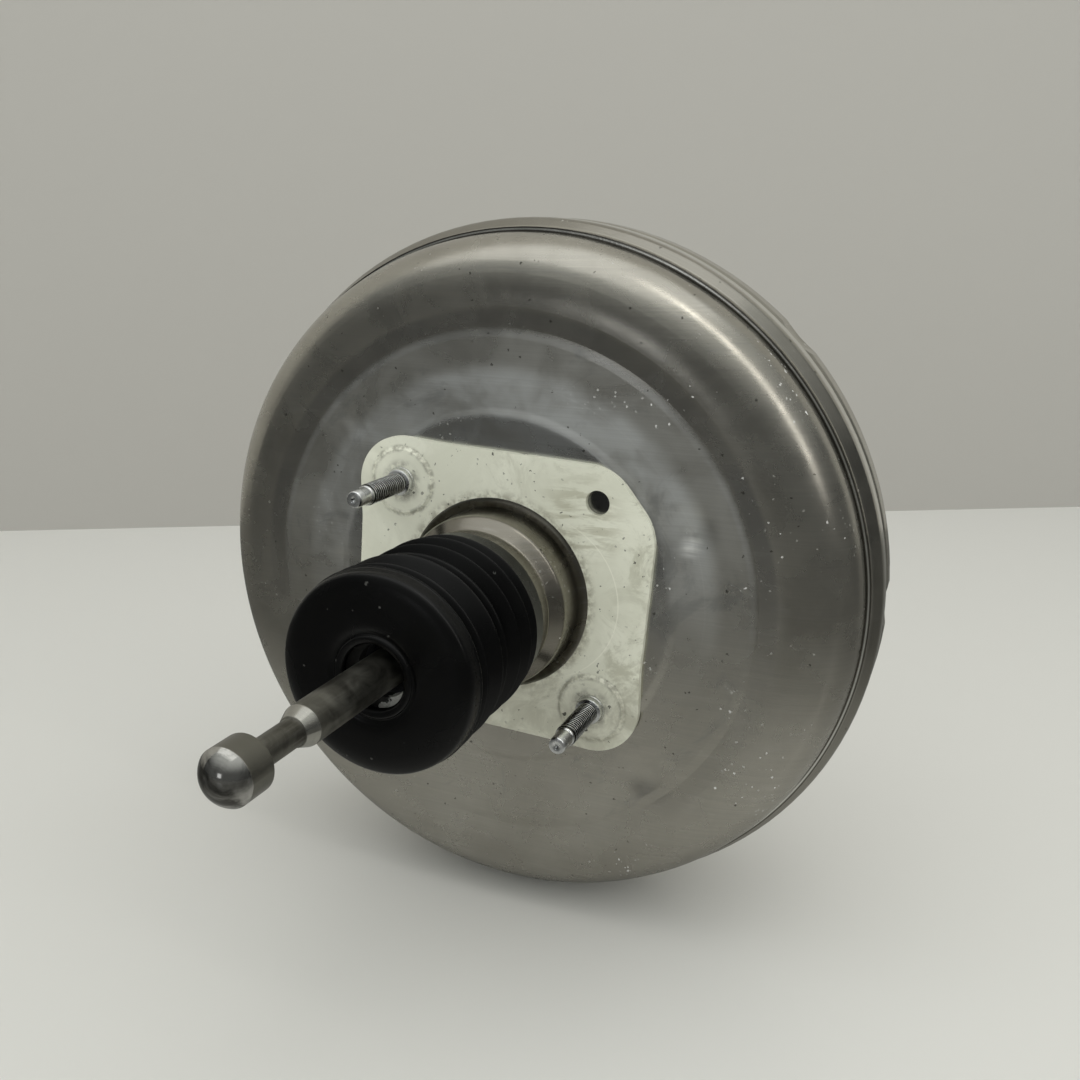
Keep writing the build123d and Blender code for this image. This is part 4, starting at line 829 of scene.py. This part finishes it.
WALL_POINT = Vector((0.080, 0.782, FLOOR_Z))
WALL_WAY = Vector((math.cos(math.radians(31.4)), math.sin(math.radians(31.4)), 0))
FLOOR_WAY = Vector((WALL_WAY.y, -WALL_WAY.x, 0))
FLOOR_HALF = 3.0
left, right = WALL_POINT - FLOOR_HALF * WALL_WAY, WALL_POINT + FLOOR_HALF * WALL_WAY
quad("floor", [left, right, right + 2.6 * FLOOR_WAY, left + 2.6 * FLOOR_WAY],
     stage_material("floor_pale", (0.74, 0.73, 0.70), 0.62, 0.15, 0.30))
up = Vector((0, 0, 2.4))
quad("backdrop", [left, right, right + up, left + up],
     stage_material("wall_grey", (0.475, 0.458, 0.43), 1.0, 1.0, 0.6))


WORLD_SOFT = 0.98       # strength that lights the object
WORLD_SEEN = 0.45       # strength that the camera sees past the backdrop


def studio_world():
    """Soft grey room: even for soft light; what gloss shows is dim low down, brighter overhead."""
    world = bpy.data.worlds.new("studio")
    bpy.context.scene.world = world
    world.use_nodes = True
    tree = world.node_tree
    sky = tree.nodes["Background"]
    way = tree.nodes.new("ShaderNodeTexCoord")
    parts = tree.nodes.new("ShaderNodeSeparateXYZ")
    tree.links.new(way.outputs["Generated"], parts.inputs[0])
    rise = tree.nodes.new("ShaderNodeMapRange")
    rise.interpolation_type = "SMOOTHSTEP"
    tree.links.new(parts.outputs["Z"], rise.inputs["Value"])
    for name, value in (("From Min", 0.25), ("From Max", 0.95), ("To Min", 0.09), ("To Max", 0.60)):
        rise.inputs[name].default_value = value
    ray = tree.nodes.new("ShaderNodeLightPath")
    pick = tree.nodes.new("ShaderNodeMix")
    tree.links.new(ray.outputs["Is Glossy Ray"], pick.inputs[0])
    pick.inputs[2].default_value = WORLD_SOFT
    tree.links.new(rise.outputs["Result"], pick.inputs[3])
    plain = tree.nodes.new("ShaderNodeMix")
    tree.links.new(ray.outputs["Is Camera Ray"], plain.inputs[0])
    tree.links.new(pick.outputs[0], plain.inputs[2])
    plain.inputs[3].default_value = WORLD_SEEN
    tree.links.new(plain.outputs[0], sky.inputs["Strength"])
    sky.inputs["Color"].default_value = (0.97, 1.0, 0.97, 1.0)


studio_world()


def area_light(name, place, target, size, radiance, colour=(1, 1, 1), spin=0.0):
    """A rectangular lamp whose face shows the given radiance; spin turns it about its axis."""
    lamp = bpy.data.lights.new(name, "AREA")
    lamp.shape = "RECTANGLE"
    lamp.size, lamp.size_y = size
    lamp.energy = radiance * math.pi * size[0] * size[1]
    lamp.color = colour
    made = bpy.data.objects.new(name, lamp)
    bpy.context.scene.collection.objects.link(made)
    made.location = place
    made.rotation_euler = ((Vector(target) - Vector(place)).to_track_quat("-Z", "Y").to_matrix()
                           @ Matrix.Rotation(math.radians(spin), 3, "Z")).to_euler()
    return made


KEY_PLACE = (0.855, -0.275, 0.95)
KEY_SPIN = 101.6        # degrees; lays the strip lamp's reflection along the shoulder
area_light("overhead", (-0.25, 0.05, 1.75), (-0.1, 0, 0), (2.2, 2.2), 0.50, (1.0, 1.0, 0.98))
area_light("window", (-0.30, -1.5, 0.20), (0, 0, 0), (0.30, 0.28), 0.8, (0.96, 0.98, 1.0))
area_light("key", KEY_PLACE, (0.08, 0, 0.08), (1.60, 0.15), 2.7, (1.0, 0.975, 0.92), KEY_SPIN)

azimuth, elevation = math.radians(CAMERA_AZIMUTH), math.radians(CAMERA_ELEVATION)
back = Vector((math.sin(azimuth) * math.cos(elevation), -math.cos(azimuth) * math.cos(elevation),
               math.sin(elevation)))
side = Vector((math.cos(azimuth), math.sin(azimuth), 0))
upright = back.cross(side)
view = Matrix((side, upright, back)).transposed().to_4x4()
lens = bpy.data.cameras.new("camera")
lens.lens = CAMERA_LENS
lens.sensor_width = CAMERA_SENSOR
lens.clip_start = 0.01
camera = bpy.data.objects.new("camera", lens)
bpy.context.scene.collection.objects.link(camera)
camera.matrix_world = (Matrix.Translation(CAMERA_PLACE) @ view
                       @ Matrix.Rotation(math.radians(CAMERA_ROLL), 4, "Z"))
bpy.context.scene.camera = camera
bpy.context.scene.view_settings.view_transform = "Standard"
